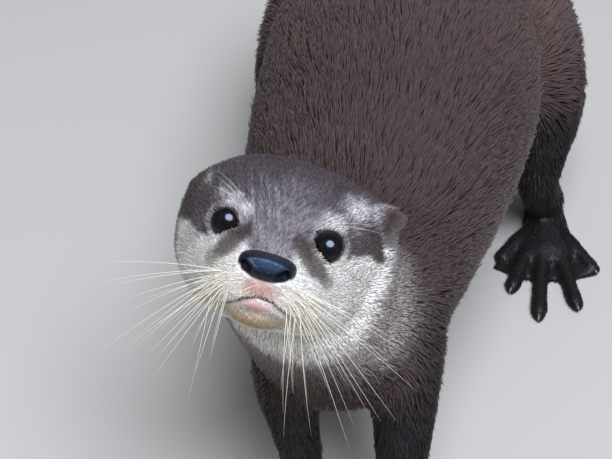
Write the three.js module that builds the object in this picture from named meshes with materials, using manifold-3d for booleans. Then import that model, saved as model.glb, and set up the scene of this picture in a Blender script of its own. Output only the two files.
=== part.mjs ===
// A small-clawed otter as a life-size display model, standing on all fours with its head
// raised and turned up. Millimetres, +Z up, the nose towards -Y and the otter's left at +X.
//
// Every part of the body is a loft: a row of rounded cross sections along a curve, from the
// sizes listed below. Neighbours are parted by thin gaps, and the soles and the underside of
// the tail are cut level, so that the model rests on them.
import * as THREE from 'three';
import { LoftGeometry } from 'three/addons/geometries/LoftGeometry.js';
import { mergeVertices } from 'three/addons/utils/BufferGeometryUtils.js';
import Module from 'manifold-3d';

const wasm = await Module();
wasm.setup();

// ---- Driving dimensions -------------------------------------------------------------------

const GAP = 0.4; // left between neighbouring parts
const EYE_HEIGHT = 205; // of the eye line over the floor
const EYE_LINE = new THREE.Vector3(-24, 0, EYE_HEIGHT); // midway between the eyes
const HEAD_TURN = { yaw: 3, pitch: 33, roll: 12 }; // degrees: left, up, leaning left
const EYE_SPACING = 44.4; // between the eyeballs' centres
const EYE_RADIUS = 7.2;
const EYE_SEAT = { behind: 3.5, above: 0.5 }; // of the eyeballs' centres, from the eye line
const FAR = 2000; // side of the boxes that stand for half of space

// Sections of the trunk and the neck, from the root of the tail to the inside of the skull:
// where the middle of the section lies, its half width, how far it reaches up and down, and
// how far its top is tilted back, in degrees, as the body bends up into the neck. All the
// sizes in this file reach to the tips of the coat.
const BODY = [
  { x: 0, y: 373, z: 82, side: 11, up: 11, down: 10, tilt: 0 },
  { x: 0, y: 363, z: 85, side: 28, up: 27, down: 25, tilt: 0 },
  { x: 0, y: 340, z: 96, side: 46, up: 43, down: 38, tilt: 0 },
  { x: 2, y: 300, z: 111, side: 64, up: 58, down: 48, tilt: 0 },
  { x: 4, y: 252, z: 121, side: 75, up: 63, down: 56, tilt: 0 },
  { x: 5, y: 203, z: 123, side: 76.5, up: 62, down: 60, tilt: 0 },
  { x: 3, y: 153, z: 122, side: 71.5, up: 58, down: 60, tilt: 0 },
  { x: 0, y: 107, z: 121, side: 63, up: 55, down: 58, tilt: 3 },
  { x: -1, y: 74, z: 123, side: 54, up: 51, down: 57, tilt: 14 },
  { x: -4, y: 46, z: 132, side: 47, up: 47, down: 59, tilt: 32 },
  { x: -13, y: 31, z: 154, side: 43.5, up: 41, down: 45, tilt: 52 },
  { x: -21, y: 26, z: 175, side: 42, up: 35, down: 37, tilt: 66 },
];
const NECK_START = new THREE.Vector3(0, 62, 128); // where the neck is parted from the trunk
const NECK_TILT = 22; // degrees

// Sections of the head in its own frame, along its forward axis from the nape to the lips:
// how far ahead of the eyes, the height of the section's middle, half width, reach up and
// down, and how much narrower it is at the top than at the jowls.
const HEAD = [
  { ahead: -74, z: -12, side: 10, up: 9, down: 9, taper: 0 },
  { ahead: -69, z: -12, side: 29, up: 22, down: 22, taper: 0.02 },
  { ahead: -58, z: -12, side: 44.5, up: 33.5, down: 32, taper: -0.02 },
  { ahead: -45, z: -12, side: 48, up: 39, down: 34, taper: -0.02 },
  { ahead: -32, z: -13, side: 44.5, up: 40, down: 33, taper: 0.03 },
  { ahead: -19, z: -14, side: 39.5, up: 37.5, down: 30, taper: 0.08 },
  { ahead: -8, z: -16, side: 35.5, up: 33.5, down: 25.5, taper: 0.16 },
  { ahead: 2, z: -17, side: 31, up: 26.5, down: 20.5, taper: 0.2 },
  { ahead: 12, z: -17, side: 27.5, up: 20, down: 16, taper: 0.18 },
  { ahead: 20, z: -17, side: 24.5, up: 15.5, down: 12, taper: 0.12 },
  { ahead: 26.5, z: -17, side: 19, up: 11.5, down: 8.5, taper: 0.05 },
  { ahead: 29.5, z: -17, side: 10, up: 6.5, down: 5, taper: 0 },
];

// The lower jaw, under the muzzle, in the head's frame.
const LOWER_JAW = [
  { ahead: -16, z: -34, side: 20, up: 10, down: 9, taper: 0 },
  { ahead: 0, z: -32, side: 17, up: 9, down: 8, taper: 0 },
  { ahead: 12, z: -29.5, side: 14, up: 8, down: 7, taper: 0 },
  { ahead: 20, z: -28, side: 11, up: 6, down: 6, taper: 0 },
  { ahead: 24.5, z: -27.5, side: 5, up: 3, down: 3, taper: 0 },
];

const NOSE = { ahead: 25.5, z: -9, width: 22.5, height: 13, depth: 11 };
const EAR = { width: 19, height: 19, thick: 7, ahead: -40, lean: -6 };
// One ear is pricked and the other is turned back: place aside and over the eye line.
const EAR_HELD = {
  left: { x: 42.5, z: 10, turn: 35, tall: 1 },
  right: { x: 41.5, z: 0, turn: 70, tall: 1.2 },
};

// The tail leaves the rump, drops to the floor and lies on it in an easy bend.
const TAIL = [
  { x: 0, y: 334, z: 92, side: 33, up: 31, down: 31 },
  { x: 0, y: 364, z: 72, side: 27, up: 25, down: 25 },
  { x: -2, y: 396, z: 46, side: 21, up: 20, down: 20 },
  { x: -6, y: 432, z: 25, side: 16.5, up: 15.5, down: 16 },
  { x: -14, y: 476, z: 13.5, side: 13.5, up: 12.5, down: 13.4 },
  { x: -28, y: 520, z: 10, side: 11, up: 10, down: 10.3 },
  { x: -48, y: 560, z: 7.5, side: 8.6, up: 7.6, down: 7.8 },
  { x: -73, y: 594, z: 5.2, side: 6, up: 5.2, down: 5.5 },
  { x: -94, y: 616, z: 3.2, side: 3, up: 2.6, down: 3.4 },
];

// Each leg from its root inside the trunk to its foot: the sections' centres, and their half
// sizes across and fore and aft. The left legs stand further out than the right ones.
const LEGS = {
  left: {
    fore: {
      sections: [
        { x: 30, y: 62, z: 124, side: 16, deep: 24 },
        { x: 30.5, y: 44, z: 104, side: 17, deep: 26 },
        { x: 30, y: 28, z: 84, side: 16.5, deep: 22 },
        { x: 31, y: 17, z: 64, side: 14.2, deep: 17 },
        { x: 32, y: 11, z: 44, side: 12.3, deep: 14 },
        { x: 33, y: 8, z: 24, side: 11, deep: 12 },
        { x: 33, y: 6, z: 8, side: 11, deep: 12 },
      ],
      foot: { x: 33, y: 4, heading: 5 },
    },
    hind: {
      sections: [
        { x: 38, y: 356, z: 112, side: 8, deep: 12 },
        { x: 46, y: 346, z: 110, side: 23, deep: 32 },
        { x: 60, y: 320, z: 104, side: 36, deep: 50 },
        { x: 73, y: 284, z: 90, side: 34, deep: 52 },
        { x: 80, y: 258, z: 72, side: 26, deep: 40 },
        { x: 83, y: 245, z: 54, side: 17, deep: 26 },
        { x: 85.5, y: 244, z: 38, side: 13, deep: 18 },
        { x: 89, y: 251, z: 25, side: 12, deep: 14.5 },
        { x: 91.5, y: 258, z: 12, side: 12, deep: 13 },
      ],
      foot: { x: 92, y: 256, heading: 8 },
    },
  },
  right: {
    fore: {
      sections: [
        { x: -31, y: 62, z: 124, side: 16, deep: 24 },
        { x: -30, y: 44, z: 104, side: 17, deep: 26 },
        { x: -26.5, y: 28, z: 84, side: 16, deep: 22 },
        { x: -20, y: 17, z: 64, side: 12.5, deep: 16 },
        { x: -15, y: 10, z: 44, side: 10.4, deep: 13 },
        { x: -12, y: 5, z: 24, side: 10, deep: 11.5 },
        { x: -11, y: 2, z: 8, side: 11, deep: 12 },
      ],
      foot: { x: -11, y: -2, heading: -3 },
    },
    hind: {
      sections: [
        { x: -32, y: 360, z: 112, side: 8, deep: 12 },
        { x: -38, y: 351, z: 110, side: 21, deep: 32 },
        { x: -46, y: 328, z: 104, side: 32, deep: 48 },
        { x: -54, y: 296, z: 90, side: 32.5, deep: 51 },
        { x: -60.5, y: 271, z: 72, side: 25.5, deep: 39 },
        { x: -62.5, y: 258, z: 54, side: 17, deep: 26 },
        { x: -65, y: 257, z: 38, side: 13, deep: 18 },
        { x: -68, y: 264, z: 25, side: 12, deep: 14.5 },
        { x: -70, y: 271, z: 12, side: 12, deep: 13 },
      ],
      foot: { x: -70.5, y: 269, heading: -9 },
    },
  },
};

// Where a leg is parted: at the section of its elbow or knee, and at the height of its ankle.
const LEG_PARTING = { fore: { section: 2, ankle: 17 }, hind: { section: 4, ankle: 20 } };

// A foot has a low pad and five toes that fan out from it, joined by short webs. Sizes of
// the pad, and for each toe, from the inner one outwards, how far its tip lies ahead of the
// ankle and how far it is turned out, in degrees.
const FORE_FOOT = {
  pad: { back: 12, front: 22, side: 14.5, height: 12 },
  toe: { side: 4.4, height: 8, start: 8 },
  toes: [
    { reach: 27, turn: -34 },
    { reach: 35, turn: -17 },
    { reach: 38, turn: 0 },
    { reach: 35, turn: 17 },
    { reach: 28, turn: 34 },
  ],
  web: { reach: 27, height: 3.4 },
};
const HIND_FOOT = {
  pad: { back: 14, front: 44, side: 16, height: 15 },
  toe: { side: 5.4, height: 9.5, start: 18 },
  toes: [
    { reach: 50, turn: -37 },
    { reach: 70, turn: -21 },
    { reach: 88, turn: -7 },
    { reach: 80, turn: 9 },
    { reach: 56, turn: 28 },
  ],
  web: { reach: 56, height: 3.6 },
};

// ---- Finishes -----------------------------------------------------------------------------

const finish = (color, roughness) => new THREE.MeshStandardMaterial({ color, roughness, metalness: 0 });
const BROWN_COAT = finish(0x4d3f39, 0.75);
const GREY_COAT = finish(0x7d7069, 0.75);
const PALE_COAT = finish(0xcfc6b8, 0.75);
const BARE_SKIN = finish(0x2b2023, 0.55);
const NOSE_SKIN = finish(0x14151a, 0.3);
const WET_EYE = finish(0x0d0908, 0.08);

// ---- Shapes -------------------------------------------------------------------------------

const UP = new THREE.Vector3(0, 0, 1);
const radians = THREE.MathUtils.degToRad;

/** The head's frame: its origin midway between the eyes, turned by yaw, pitch and roll. */
const headFrame = new THREE.Matrix4().compose(
  EYE_LINE,
  new THREE.Quaternion().setFromEuler(
    new THREE.Euler(-radians(HEAD_TURN.pitch), radians(HEAD_TURN.roll), radians(HEAD_TURN.yaw), 'ZXY'),
  ),
  new THREE.Vector3(1, 1, 1),
);

/** A smooth function of a section's place in a row, through the value at each section. */
function alongRow(rows, values) {
  const points = rows.map((row) => new THREE.Vector3(...values(row)));
  const curve = new THREE.CatmullRomCurve3(points, false, 'catmullrom', 0.5);
  return (share) => curve.getPoint(share);
}

/**
 * One closed ring round a centre, with its own reach up and down and a taper. It is an
 * ellipse where fullness is 1, and fills its corners more the lower that is.
 */
function ring(centre, across, upward, size, { sides, fullness = 1 }) {
  const points = [];
  const eased = (value) => Math.sign(value) * Math.abs(value) ** fullness;
  for (let i = 0; i < sides; i++) {
    const angle = (i / sides) * Math.PI * 2;
    const lift = eased(Math.sin(angle)) * (Math.sin(angle) > 0 ? size.up : size.down);
    const reach = eased(Math.cos(angle)) * size.side * (1 - (size.taper * lift) / size.up);
    points.push(centre.clone().addScaledVector(across, reach).addScaledVector(upward, lift));
  }
  return points;
}

/**
 * A closed solid through a row of sections, each { centre, side, up, down, taper, upward }.
 * Each section stands square to the curve through the centres, with its cross direction level,
 * or along across where that is given, and leans as its own upward says where it has one.
 */
function skin(rows, { steps, grow = 0, across = null, ...shape }) {
  const centre = alongRow(rows, (row) => row.centre.toArray());
  const reach = alongRow(rows, (row) => [row.side, row.up, row.down]);
  const taper = alongRow(rows, (row) => [row.taper ?? 0, 0, 0]);
  const lean = rows[0].upward && alongRow(rows, (row) => row.upward.toArray());
  const sections = [];
  for (let i = 0; i <= steps; i++) {
    const share = i / steps;
    const along = centre(Math.min(1, share + 0.01)).sub(centre(Math.max(0, share - 0.01))).normalize();
    const sideways = across ?? new THREE.Vector3().crossVectors(UP, along).normalize();
    const upward = lean ? lean(share) : new THREE.Vector3().crossVectors(along, sideways);
    const { x, y, z } = reach(share);
    const size = { side: x + grow, up: y + grow, down: z + grow, taper: taper(share).x };
    sections.push(ring(centre(share), sideways, upward.normalize(), size, shape));
  }
  return solid(new LoftGeometry(sections, { capStart: true, capEnd: true }));
}

/** A three.js geometry as a solid that can be joined and cut. */
function solid(geometry, matrix = new THREE.Matrix4()) {
  const bare = geometry.index ? geometry.toNonIndexed() : geometry.clone();
  bare.deleteAttribute('normal');
  bare.deleteAttribute('uv');
  const merged = mergeVertices(bare.applyMatrix4(matrix), 1e-3);
  return new wasm.Manifold(
    new wasm.Mesh({
      numProp: 3,
      vertProperties: merged.attributes.position.array,
      triVerts: new Uint32Array(merged.index.array),
    }),
  );
}

/** The half of space on the far side of a plane, from a little way behind it. */
function beyond(point, normal, clearance = 0) {
  const box = new THREE.BoxGeometry(FAR, FAR, FAR).translate(0, 0, FAR / 2 + clearance);
  const turn = new THREE.Quaternion().setFromUnitVectors(UP, normal.clone().normalize());
  return solid(box, new THREE.Matrix4().compose(point, turn, new THREE.Vector3(1, 1, 1)));
}

const overFloor = beyond(new THREE.Vector3(), UP);

/** Parts a solid by a plane into [the side behind it, the side the normal points to]. */
function parted(whole, point, normal) {
  return [
    whole.intersect(beyond(point, normal.clone().negate(), GAP / 2)),
    whole.intersect(beyond(point, normal, GAP / 2)),
  ];
}

/** A solid turned back into a mesh with its name and finish, without crumbs left by a cut. */
function mesh(name, made, material) {
  const [largest] = made.decompose().sort((a, b) => b.volume() - a.volume());
  const { vertProperties, triVerts, numProp } = largest.getMesh();
  const positions = new Float32Array((vertProperties.length / numProp) * 3);
  for (let i = 0; i < positions.length / 3; i++) {
    positions.set(vertProperties.subarray(i * numProp, i * numProp + 3), i * 3);
  }
  const geometry = new THREE.BufferGeometry();
  geometry.setAttribute('position', new THREE.BufferAttribute(positions, 3));
  geometry.setIndex(new THREE.BufferAttribute(triVerts, 1));
  geometry.computeVertexNormals();
  const piece = new THREE.Mesh(geometry, material);
  piece.name = name;
  return piece;
}

// ---- Trunk, neck and tail -------------------------------------------------------------------

const ACROSS = new THREE.Vector3(1, 0, 0);
const tilted = (degrees) => new THREE.Vector3(0, Math.sin(radians(degrees)), Math.cos(radians(degrees)));

const bodySolid = (grow = 0) => {
  const rows = BODY.map(({ x, y, z, tilt, ...size }) => ({
    centre: new THREE.Vector3(x, y, z),
    upward: tilted(tilt),
    ...size,
  }));
  return skin(rows, { steps: 24, sides: 20, grow, across: ACROSS });
};
const neckward = new THREE.Vector3().crossVectors(ACROSS, tilted(NECK_TILT));

const tailSolid = () => {
  const rows = TAIL.map(({ x, y, z, ...size }) => ({ centre: new THREE.Vector3(x, y, z), ...size }));
  return skin(rows, { steps: 16, sides: 12 });
};

// ---- Head -----------------------------------------------------------------------------------

const headUp = UP.clone().transformDirection(headFrame);
const headAcross = ACROSS.clone().transformDirection(headFrame);
const inHead = (x, ahead, z) => new THREE.Matrix4().makeTranslation(x, -ahead, z).premultiply(headFrame);

const headLoft = (list, detail, grow) => {
  const rows = list.map(({ ahead, z, ...size }) => ({
    centre: new THREE.Vector3(0, -ahead, z).applyMatrix4(headFrame),
    upward: headUp,
    ...size,
  }));
  return skin(rows, { ...detail, grow, across: headAcross });
};
const headSolid = (grow = 0) => headLoft(HEAD, { steps: 19, sides: 20, fullness: 0.82 }, grow);
const jawSolid = (grow = 0) => headLoft(LOWER_JAW, { steps: 8, sides: 14 }, grow);

const eyeball = (sign, grow = 0) =>
  solid(
    new THREE.SphereGeometry(EYE_RADIUS + grow, 12, 8),
    inHead((sign * EYE_SPACING) / 2, -EYE_SEAT.behind, EYE_SEAT.above),
  );

/** The nose pad: a rounded block, wider than it is high, that stands out of the muzzle. */
function noseSolid(grow = 0) {
  const shape = new THREE.SphereGeometry(1, 12, 8);
  shape.scale(NOSE.width / 2 + grow, NOSE.depth / 2 + grow, NOSE.height / 2 + grow);
  return solid(shape, inHead(0, NOSE.ahead, NOSE.z));
}

/** An ear: a small round leaf, hollowed in front, that leans back from the side of the head. */
function earSolid(sign, held) {
  const height = EAR.height * held.tall;
  const leaf = new THREE.SphereGeometry(1, 14, 8).scale(EAR.width / 2, EAR.thick / 2, height / 2);
  const hollow = new THREE.SphereGeometry(1, 10, 6)
    .scale(EAR.width * 0.33, EAR.thick * 0.4, height * 0.36)
    .translate(0, -EAR.thick * 0.5, 0);
  const stance = new THREE.Matrix4()
    .makeRotationFromEuler(new THREE.Euler(0, sign * radians(EAR.lean), sign * radians(held.turn), 'ZYX'));
  const place = inHead(sign * held.x, EAR.ahead, held.z).multiply(stance);
  return solid(leaf, place).subtract(solid(hollow, place));
}

// ---- Legs and feet --------------------------------------------------------------------------

const legRows = (sections) =>
  sections.map(({ x, y, z, side, deep }) => ({
    centre: new THREE.Vector3(x, y, z),
    side,
    up: deep,
    down: deep,
  }));

const legSolid = (sections) => skin(legRows(sections), { steps: 12, sides: 12, across: ACROSS });

/** One toe: a tapered finger along the floor from the pad to its tip. */
function toeSolid(toe, turn, reach) {
  const rows = [
    { y: 0, side: 0.85, up: 0.9 },
    { y: 0.34, side: 1, up: 1 },
    { y: 0.7, side: 0.9, up: 0.8 },
    { y: 0.9, side: 1, up: 0.72 },
    { y: 1, side: 0.5, up: 0.32 },
  ].map(({ y, side, up }) => ({
    centre: new THREE.Vector3(0, -toe.start - y * (reach - toe.start), toe.height * 0.3),
    side: side * toe.side,
    up: up * toe.height * 0.7,
    down: toe.height * 0.42,
  }));
  const made = skin(rows, { steps: 4, sides: 6 });
  return made.rotate([0, 0, turn]);
}

/** A flat web that fills the fan between the first and the last toe. */
function webSolid(foot, sign) {
  const outline = new THREE.Shape();
  outline.moveTo(0, 0);
  const turns = foot.toes.map((toe) => sign * toe.turn).sort((a, b) => a - b);
  for (let i = 0; i < turns.length; i++) {
    const angle = radians(turns[i] - 90);
    outline.lineTo(Math.cos(angle) * foot.web.reach, Math.sin(angle) * foot.web.reach);
  }
  outline.closePath();
  return solid(new THREE.ExtrudeGeometry(outline, { depth: foot.web.height, bevelEnabled: false }));
}

/** A whole foot with its ankle at the origin, its toes ahead of it and its sole on the floor. */
function footSolid(foot, sign) {
  const { pad, toe, toes } = foot;
  const pads = [
    { y: pad.back, side: 0.35, up: 0.45 },
    { y: pad.back * 0.5, side: 0.72, up: 0.86 },
    { y: -pad.front * 0.3, side: 0.88, up: 1 },
    { y: -pad.front * 0.75, side: 1, up: 0.75 },
    { y: -pad.front, side: 0.7, up: 0.4 },
  ].map(({ y, side, up }) => ({
    centre: new THREE.Vector3(0, y, 3),
    side: side * pad.side,
    up: up * (pad.height - 3),
    down: 4.5,
  }));
  return toes.reduce(
    (made, { reach, turn }) => made.add(toeSolid(toe, sign * turn, reach)),
    skin(pads, { steps: 5, sides: 10 }).add(webSolid(foot, sign)),
  );
}

/** A leg and its foot, parted at the elbow or knee and at the ankle: [upper, lower, foot]. */
function legParts({ sections, foot }, footSizes, sign, { section, ankle }, clearOf) {
  const centres = legRows(sections).map((row) => row.centre);
  const along = centres[section + 1].clone().sub(centres[section - 1]);
  const whole = legSolid(sections).subtract(clearOf).intersect(overFloor);
  const [upper, rest] = parted(whole, centres[section], along);
  const ankleAt = centres.at(-1).clone().setZ(ankle);
  const [stump, lower] = parted(rest, ankleAt, UP);
  const pad = footSolid(footSizes, sign)
    .rotate([0, 0, foot.heading])
    .translate([foot.x, foot.y, 0])
    .intersect(overFloor)
    .intersect(beyond(ankleAt, UP.clone().negate(), GAP / 2));
  return [upper, lower, pad.add(stump)];
}

// ---- Assembly -------------------------------------------------------------------------------

const otter = new THREE.Group();
const put = (name, made, material) => otter.add(mesh(name, made, material));

const sides = { left: 1, right: -1 };
const clearOfHead = headSolid(GAP).add(jawSolid(GAP));
const eyeSockets = eyeball(1, GAP).add(eyeball(-1, GAP));
const [trunk, neck] = parted(bodySolid(), NECK_START, neckward);
const clearOfBody = bodySolid(GAP);

put('trunk', trunk, BROWN_COAT);
put('neck', neck.subtract(clearOfHead), GREY_COAT);
put('head', headSolid().subtract(jawSolid(GAP)).subtract(noseSolid(GAP)).subtract(eyeSockets), GREY_COAT);
put('lower_jaw', jawSolid(), PALE_COAT);
put('nose', noseSolid(), NOSE_SKIN);
put('tail', tailSolid().subtract(clearOfBody).intersect(overFloor), BROWN_COAT);

for (const [side, sign] of Object.entries(sides)) {
  put(`eye_${side}`, eyeball(sign), WET_EYE);
  const ear = earSolid(sign, EAR_HELD[side]);
  put(`ear_${side}`, ear.subtract(clearOfHead).subtract(clearOfBody), BROWN_COAT);
  const { fore, hind } = LEGS[side];
  const [arm, forearm, forefoot] = legParts(fore, FORE_FOOT, sign, LEG_PARTING.fore, clearOfBody);
  put(`upper_arm_${side}`, arm, BROWN_COAT);
  put(`forearm_${side}`, forearm, BROWN_COAT);
  put(`forefoot_${side}`, forefoot, BARE_SKIN);
  const [thigh, shank, hindfoot] = legParts(hind, HIND_FOOT, sign, LEG_PARTING.hind, clearOfBody);
  put(`thigh_${side}`, thigh, BROWN_COAT);
  put(`shank_${side}`, shank, BROWN_COAT);
  put(`hindfoot_${side}`, hindfoot, BARE_SKIN);
}

// The origin is the middle of the bounding box at floor level.
const box = new THREE.Box3().setFromObject(otter);
otter.position.set(-(box.min.x + box.max.x) / 2, -(box.min.y + box.max.y) / 2, -box.min.z);

export default otter;
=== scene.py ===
import math

import bmesh
import bpy
import numpy as np
from bpy.props import FloatProperty, FloatVectorProperty, PointerProperty
from mathutils import Matrix, Vector
from mathutils.bvhtree import BVHTree
from mathutils.kdtree import KDTree


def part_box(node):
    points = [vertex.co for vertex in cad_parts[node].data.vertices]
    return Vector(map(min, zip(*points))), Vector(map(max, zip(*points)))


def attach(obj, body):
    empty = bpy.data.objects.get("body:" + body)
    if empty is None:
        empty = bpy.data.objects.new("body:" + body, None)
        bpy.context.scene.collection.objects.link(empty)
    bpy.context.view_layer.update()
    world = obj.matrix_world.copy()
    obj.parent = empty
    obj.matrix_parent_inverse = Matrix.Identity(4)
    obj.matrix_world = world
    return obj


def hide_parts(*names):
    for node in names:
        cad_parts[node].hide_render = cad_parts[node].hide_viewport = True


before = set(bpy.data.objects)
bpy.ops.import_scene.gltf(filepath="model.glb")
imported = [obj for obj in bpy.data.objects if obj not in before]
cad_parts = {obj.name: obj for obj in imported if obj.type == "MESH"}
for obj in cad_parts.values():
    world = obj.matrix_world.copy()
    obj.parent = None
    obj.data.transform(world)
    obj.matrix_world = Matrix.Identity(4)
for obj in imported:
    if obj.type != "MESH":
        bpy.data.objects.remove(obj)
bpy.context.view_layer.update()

bl_info = {
    "name": "Small-clawed otter",
    "version": (1, 0, 0),
    "blender": (4, 5, 0),
    "location": "View3D > Sidebar > Otter",
    "description": "Dresses the otter's solids with a skin, coat, eyes, nose, claws and whiskers",
    "category": "Object",
}

MM = 0.001
RANDOM_SEED = 7

SIDES = ("left", "right")
SIGN = {"left": 1.0, "right": -1.0}
PAIRED_FLESH = ("ear", "upper_arm", "forearm", "forefoot", "thigh", "shank", "hindfoot")
FLESH = ("trunk", "neck", "head", "lower_jaw", "tail") + tuple(
    f"{part}_{side}" for part in PAIRED_FLESH for side in SIDES
)

# The head's own frame: x to the otter's left, ahead out of the face, z up, in millimetres,
# with its origin on the line between the eyes. Its turns are in degrees.
HEAD_TURN = ((3.0, "Z"), (-33.0, "X"), (12.0, "Y"))
EYE_SEAT = {"behind": 3.5, "above": 0.5}
HEAD_MIDDLE = (0, -14, -14)
FACE_MIDDLE = (0, -12, -12)

# The ears: a leaf's half sizes in millimetres and its lean in degrees, and how each is held:
# place in the head's frame, turn and height.
EAR_HALF = (9.5, 3.5, 9.5)
EAR_AHEAD, EAR_LEAN = -40, -6
EAR_HELD = {
    "left": {"x": 42.5, "z": 10, "turn": 35, "tall": 1.0},
    "right": {"x": -41.5, "z": 0, "turn": -70, "tall": 1.2},
}

# Each part's coat, in millimetres: how deep it stands on the skin, how long and wide its
# tufts are, and how far apart they grow.
COAT = {
    "trunk": (4.4, 13.0, 0.80, 1.50),
    "neck": (3.6, 10.5, 0.66, 1.20),
    "head": (1.9, 5.6, 0.33, 0.66),
    "lower_jaw": (1.3, 4.0, 0.4, 0.8),
    "tail": (4.0, 13.0, 0.95, 1.6),
    "ear": (0.5, 3.0, 0.34, 0.66),
    "upper_arm": (3.8, 11.0, 0.8, 1.35),
    "forearm": (2.4, 7.5, 0.66, 1.2),
    "forefoot": (0.5, 2.6, 0.5, 1.1),
    "thigh": (3.8, 13.5, 0.92, 1.6),
    "shank": (2.8, 8.5, 0.74, 1.3),
    "hindfoot": (0.4, 2.4, 0.5, 1.2),
}
COAT_FIELDS = ("depth", "length", "width", "spacing")
FACE = ("head", "lower_jaw")

# Feet: each toe's reach from the ankle in millimetres and its turn outwards in degrees, each
# ankle's place and heading, and how far round it the coat is longer, in metres.
TOES = {
    "forefoot": ((27, -34), (35, -17), (38, 0), (35, 17), (28, 34)),
    "hindfoot": ((50, -37), (70, -21), (88, -7), (80, 9), (56, 28)),
}
ANKLES = {
    "forefoot_left": (22.63, -285.01, 5.0),
    "forefoot_right": (-21.37, -291.01, -3.0),
    "hindfoot_left": (81.63, -33.01, 8.0),
    "hindfoot_right": (-80.87, -20.01, -9.0),
}
ANKLE_REACH = 0.03


# ---------------------------------------------------------------- small helpers


def linear(hex_colour):
    """An sRGB hex colour as linear red, green, blue and alpha."""
    parts = [int(hex_colour[i : i + 2], 16) / 255 for i in (1, 3, 5)]
    return tuple(
        c / 12.92 if c <= 0.04045 else ((c + 0.055) / 1.055) ** 2.4 for c in parts
    ) + (1.0,)


def smooth(value, low, high):
    """0 below low, 1 above high and a smooth ramp between them."""
    t = np.clip((value - low) / (high - low), 0.0, 1.0)
    return t * t * (3 - 2 * t)


def unit(vectors):
    """Each row at length one."""
    return vectors / np.maximum(np.linalg.norm(vectors, axis=-1, keepdims=True), 1e-12)


def from_segment(points, start, end):
    """Each point's distance from a straight segment."""
    start, end = np.array(start, float), np.array(end, float)
    along = end - start
    t = np.clip((points - start) @ along / (along @ along), 0, 1)
    return np.linalg.norm(points - start - t[:, None] * along, axis=1)


def blob(points, centre, radius):
    """A soft round spot: 1 at its centre and falling away over its radius."""
    return np.exp(-((np.linalg.norm((points - centre) / radius, axis=1)) ** 2))


def waves(points, scale, seed):
    """A soft random field from -1 to 1 whose waves are about scale long."""
    rng = np.random.default_rng(seed)
    total = np.zeros(len(points))
    for _ in range(10):
        wave = unit(rng.normal(size=3)) * rng.uniform(0.6, 1.5) * 2 * math.pi / scale
        total += np.sin(points @ wave + rng.uniform(0, 2 * math.pi))
    return np.clip(total / 4.5, -1, 1)


def drawn_out(points, lie, wide, long, seed):
    """A soft random field from 0 to 1, drawn out into streaks along the coat's lie."""
    steps = np.linspace(-0.5, 0.5, 5) * long
    total = sum(waves(points / MM + lie * step, wide, seed) for step in steps)
    return np.clip(0.5 + 0.2 * total, 0, 1)


def read(items, field, width=1, kind=float):
    """A field of a mesh's items as an array, in rows where it has several numbers."""
    out = np.empty(len(items) * width, np.int32 if kind is int else np.float32)
    items.foreach_get(field, out)
    return (out.reshape(-1, width) if width > 1 else out).astype(kind)


def mesh_coords(mesh):
    """A mesh's vertices as rows."""
    return read(mesh.vertices, "co", 3)


def mesh_normals(mesh):
    """A mesh's vertex normals as rows."""
    return read(mesh.vertex_normals, "vector", 3)


def move_vertices(mesh, points):
    """Puts a mesh's vertices at these places."""
    mesh.vertices.foreach_set("co", points.astype(np.float32).ravel())
    mesh.update()


def store(mesh, name, values):
    """Keeps one number, or one vector, for each vertex as an attribute of the mesh."""
    vector = values.ndim == 2
    data = mesh.attributes.new(name, "FLOAT_VECTOR" if vector else "FLOAT", "POINT").data
    data.foreach_set("vector" if vector else "value", values.astype(np.float32).ravel())


def stored(mesh, name):
    """Reads what store() kept."""
    attribute = mesh.attributes[name]
    if attribute.data_type == "FLOAT_VECTOR":
        return read(attribute.data, "vector", 3)
    return read(attribute.data, "value")


def new_object(name, data):
    """Links a mesh, camera or lamp to the scene as an object at the origin."""
    made = bpy.data.objects.new(name, data)
    bpy.context.scene.collection.objects.link(made)
    return made


def choose(obj):
    """Makes one object the only one selected and the active one."""
    if bpy.context.object and bpy.context.object.mode != "OBJECT":
        bpy.ops.object.mode_set(mode="OBJECT")
    bpy.ops.object.select_all(action="DESELECT")
    obj.select_set(True)
    bpy.context.view_layer.objects.active = obj


def face_outwards(obj):
    """Turns every face of a closed piece outwards."""
    choose(obj)
    bpy.ops.object.mode_set(mode="EDIT")
    bpy.ops.mesh.select_all(action="SELECT")
    bpy.ops.mesh.normals_make_consistent(inside=False)
    bpy.ops.object.mode_set(mode="OBJECT")


def dress(obj, material):
    """Gives a finished piece its material and its place on the part."""
    obj.data.materials.append(material)
    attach(obj, "root")


class Web:
    """The edges of a mesh, along which values are averaged."""

    def __init__(self, mesh):
        self.a, self.b = read(mesh.edges, "vertices", 2, int).T
        self.count = len(mesh.vertices)
        ends = np.concatenate([self.a, self.b])
        self.degree = np.maximum(np.bincount(ends, minlength=self.count), 1)

    def mean(self, values):
        """The mean of each vertex's neighbours."""
        if values.ndim == 1:
            total = np.bincount(self.a, values[self.b], self.count)
            total += np.bincount(self.b, values[self.a], self.count)
            return total / self.degree
        return np.stack([self.mean(column) for column in values.T], axis=1)

    def relax(self, values, times, weight=0.5):
        """Evens values out along the edges; weight may differ from vertex to vertex."""
        if isinstance(weight, np.ndarray) and values.ndim == 2:
            weight = weight[:, None]
        for _ in range(times):
            values = values + weight * (self.mean(values) - values)
        return values


# ---------------------------------------------------------------- the head's frame


def turned(*turns):
    """One turn matrix from turns in degrees about the axes, the last made first."""
    whole = Matrix.Identity(3)
    for degrees, axis in turns:
        whole = whole @ Matrix.Rotation(math.radians(degrees), 3, axis)
    return np.array(whole)


def eye_centre(side):
    """The middle of an eye of the solids."""
    low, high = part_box(f"eye_{side}")
    return np.array((low + high) / 2)


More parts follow.
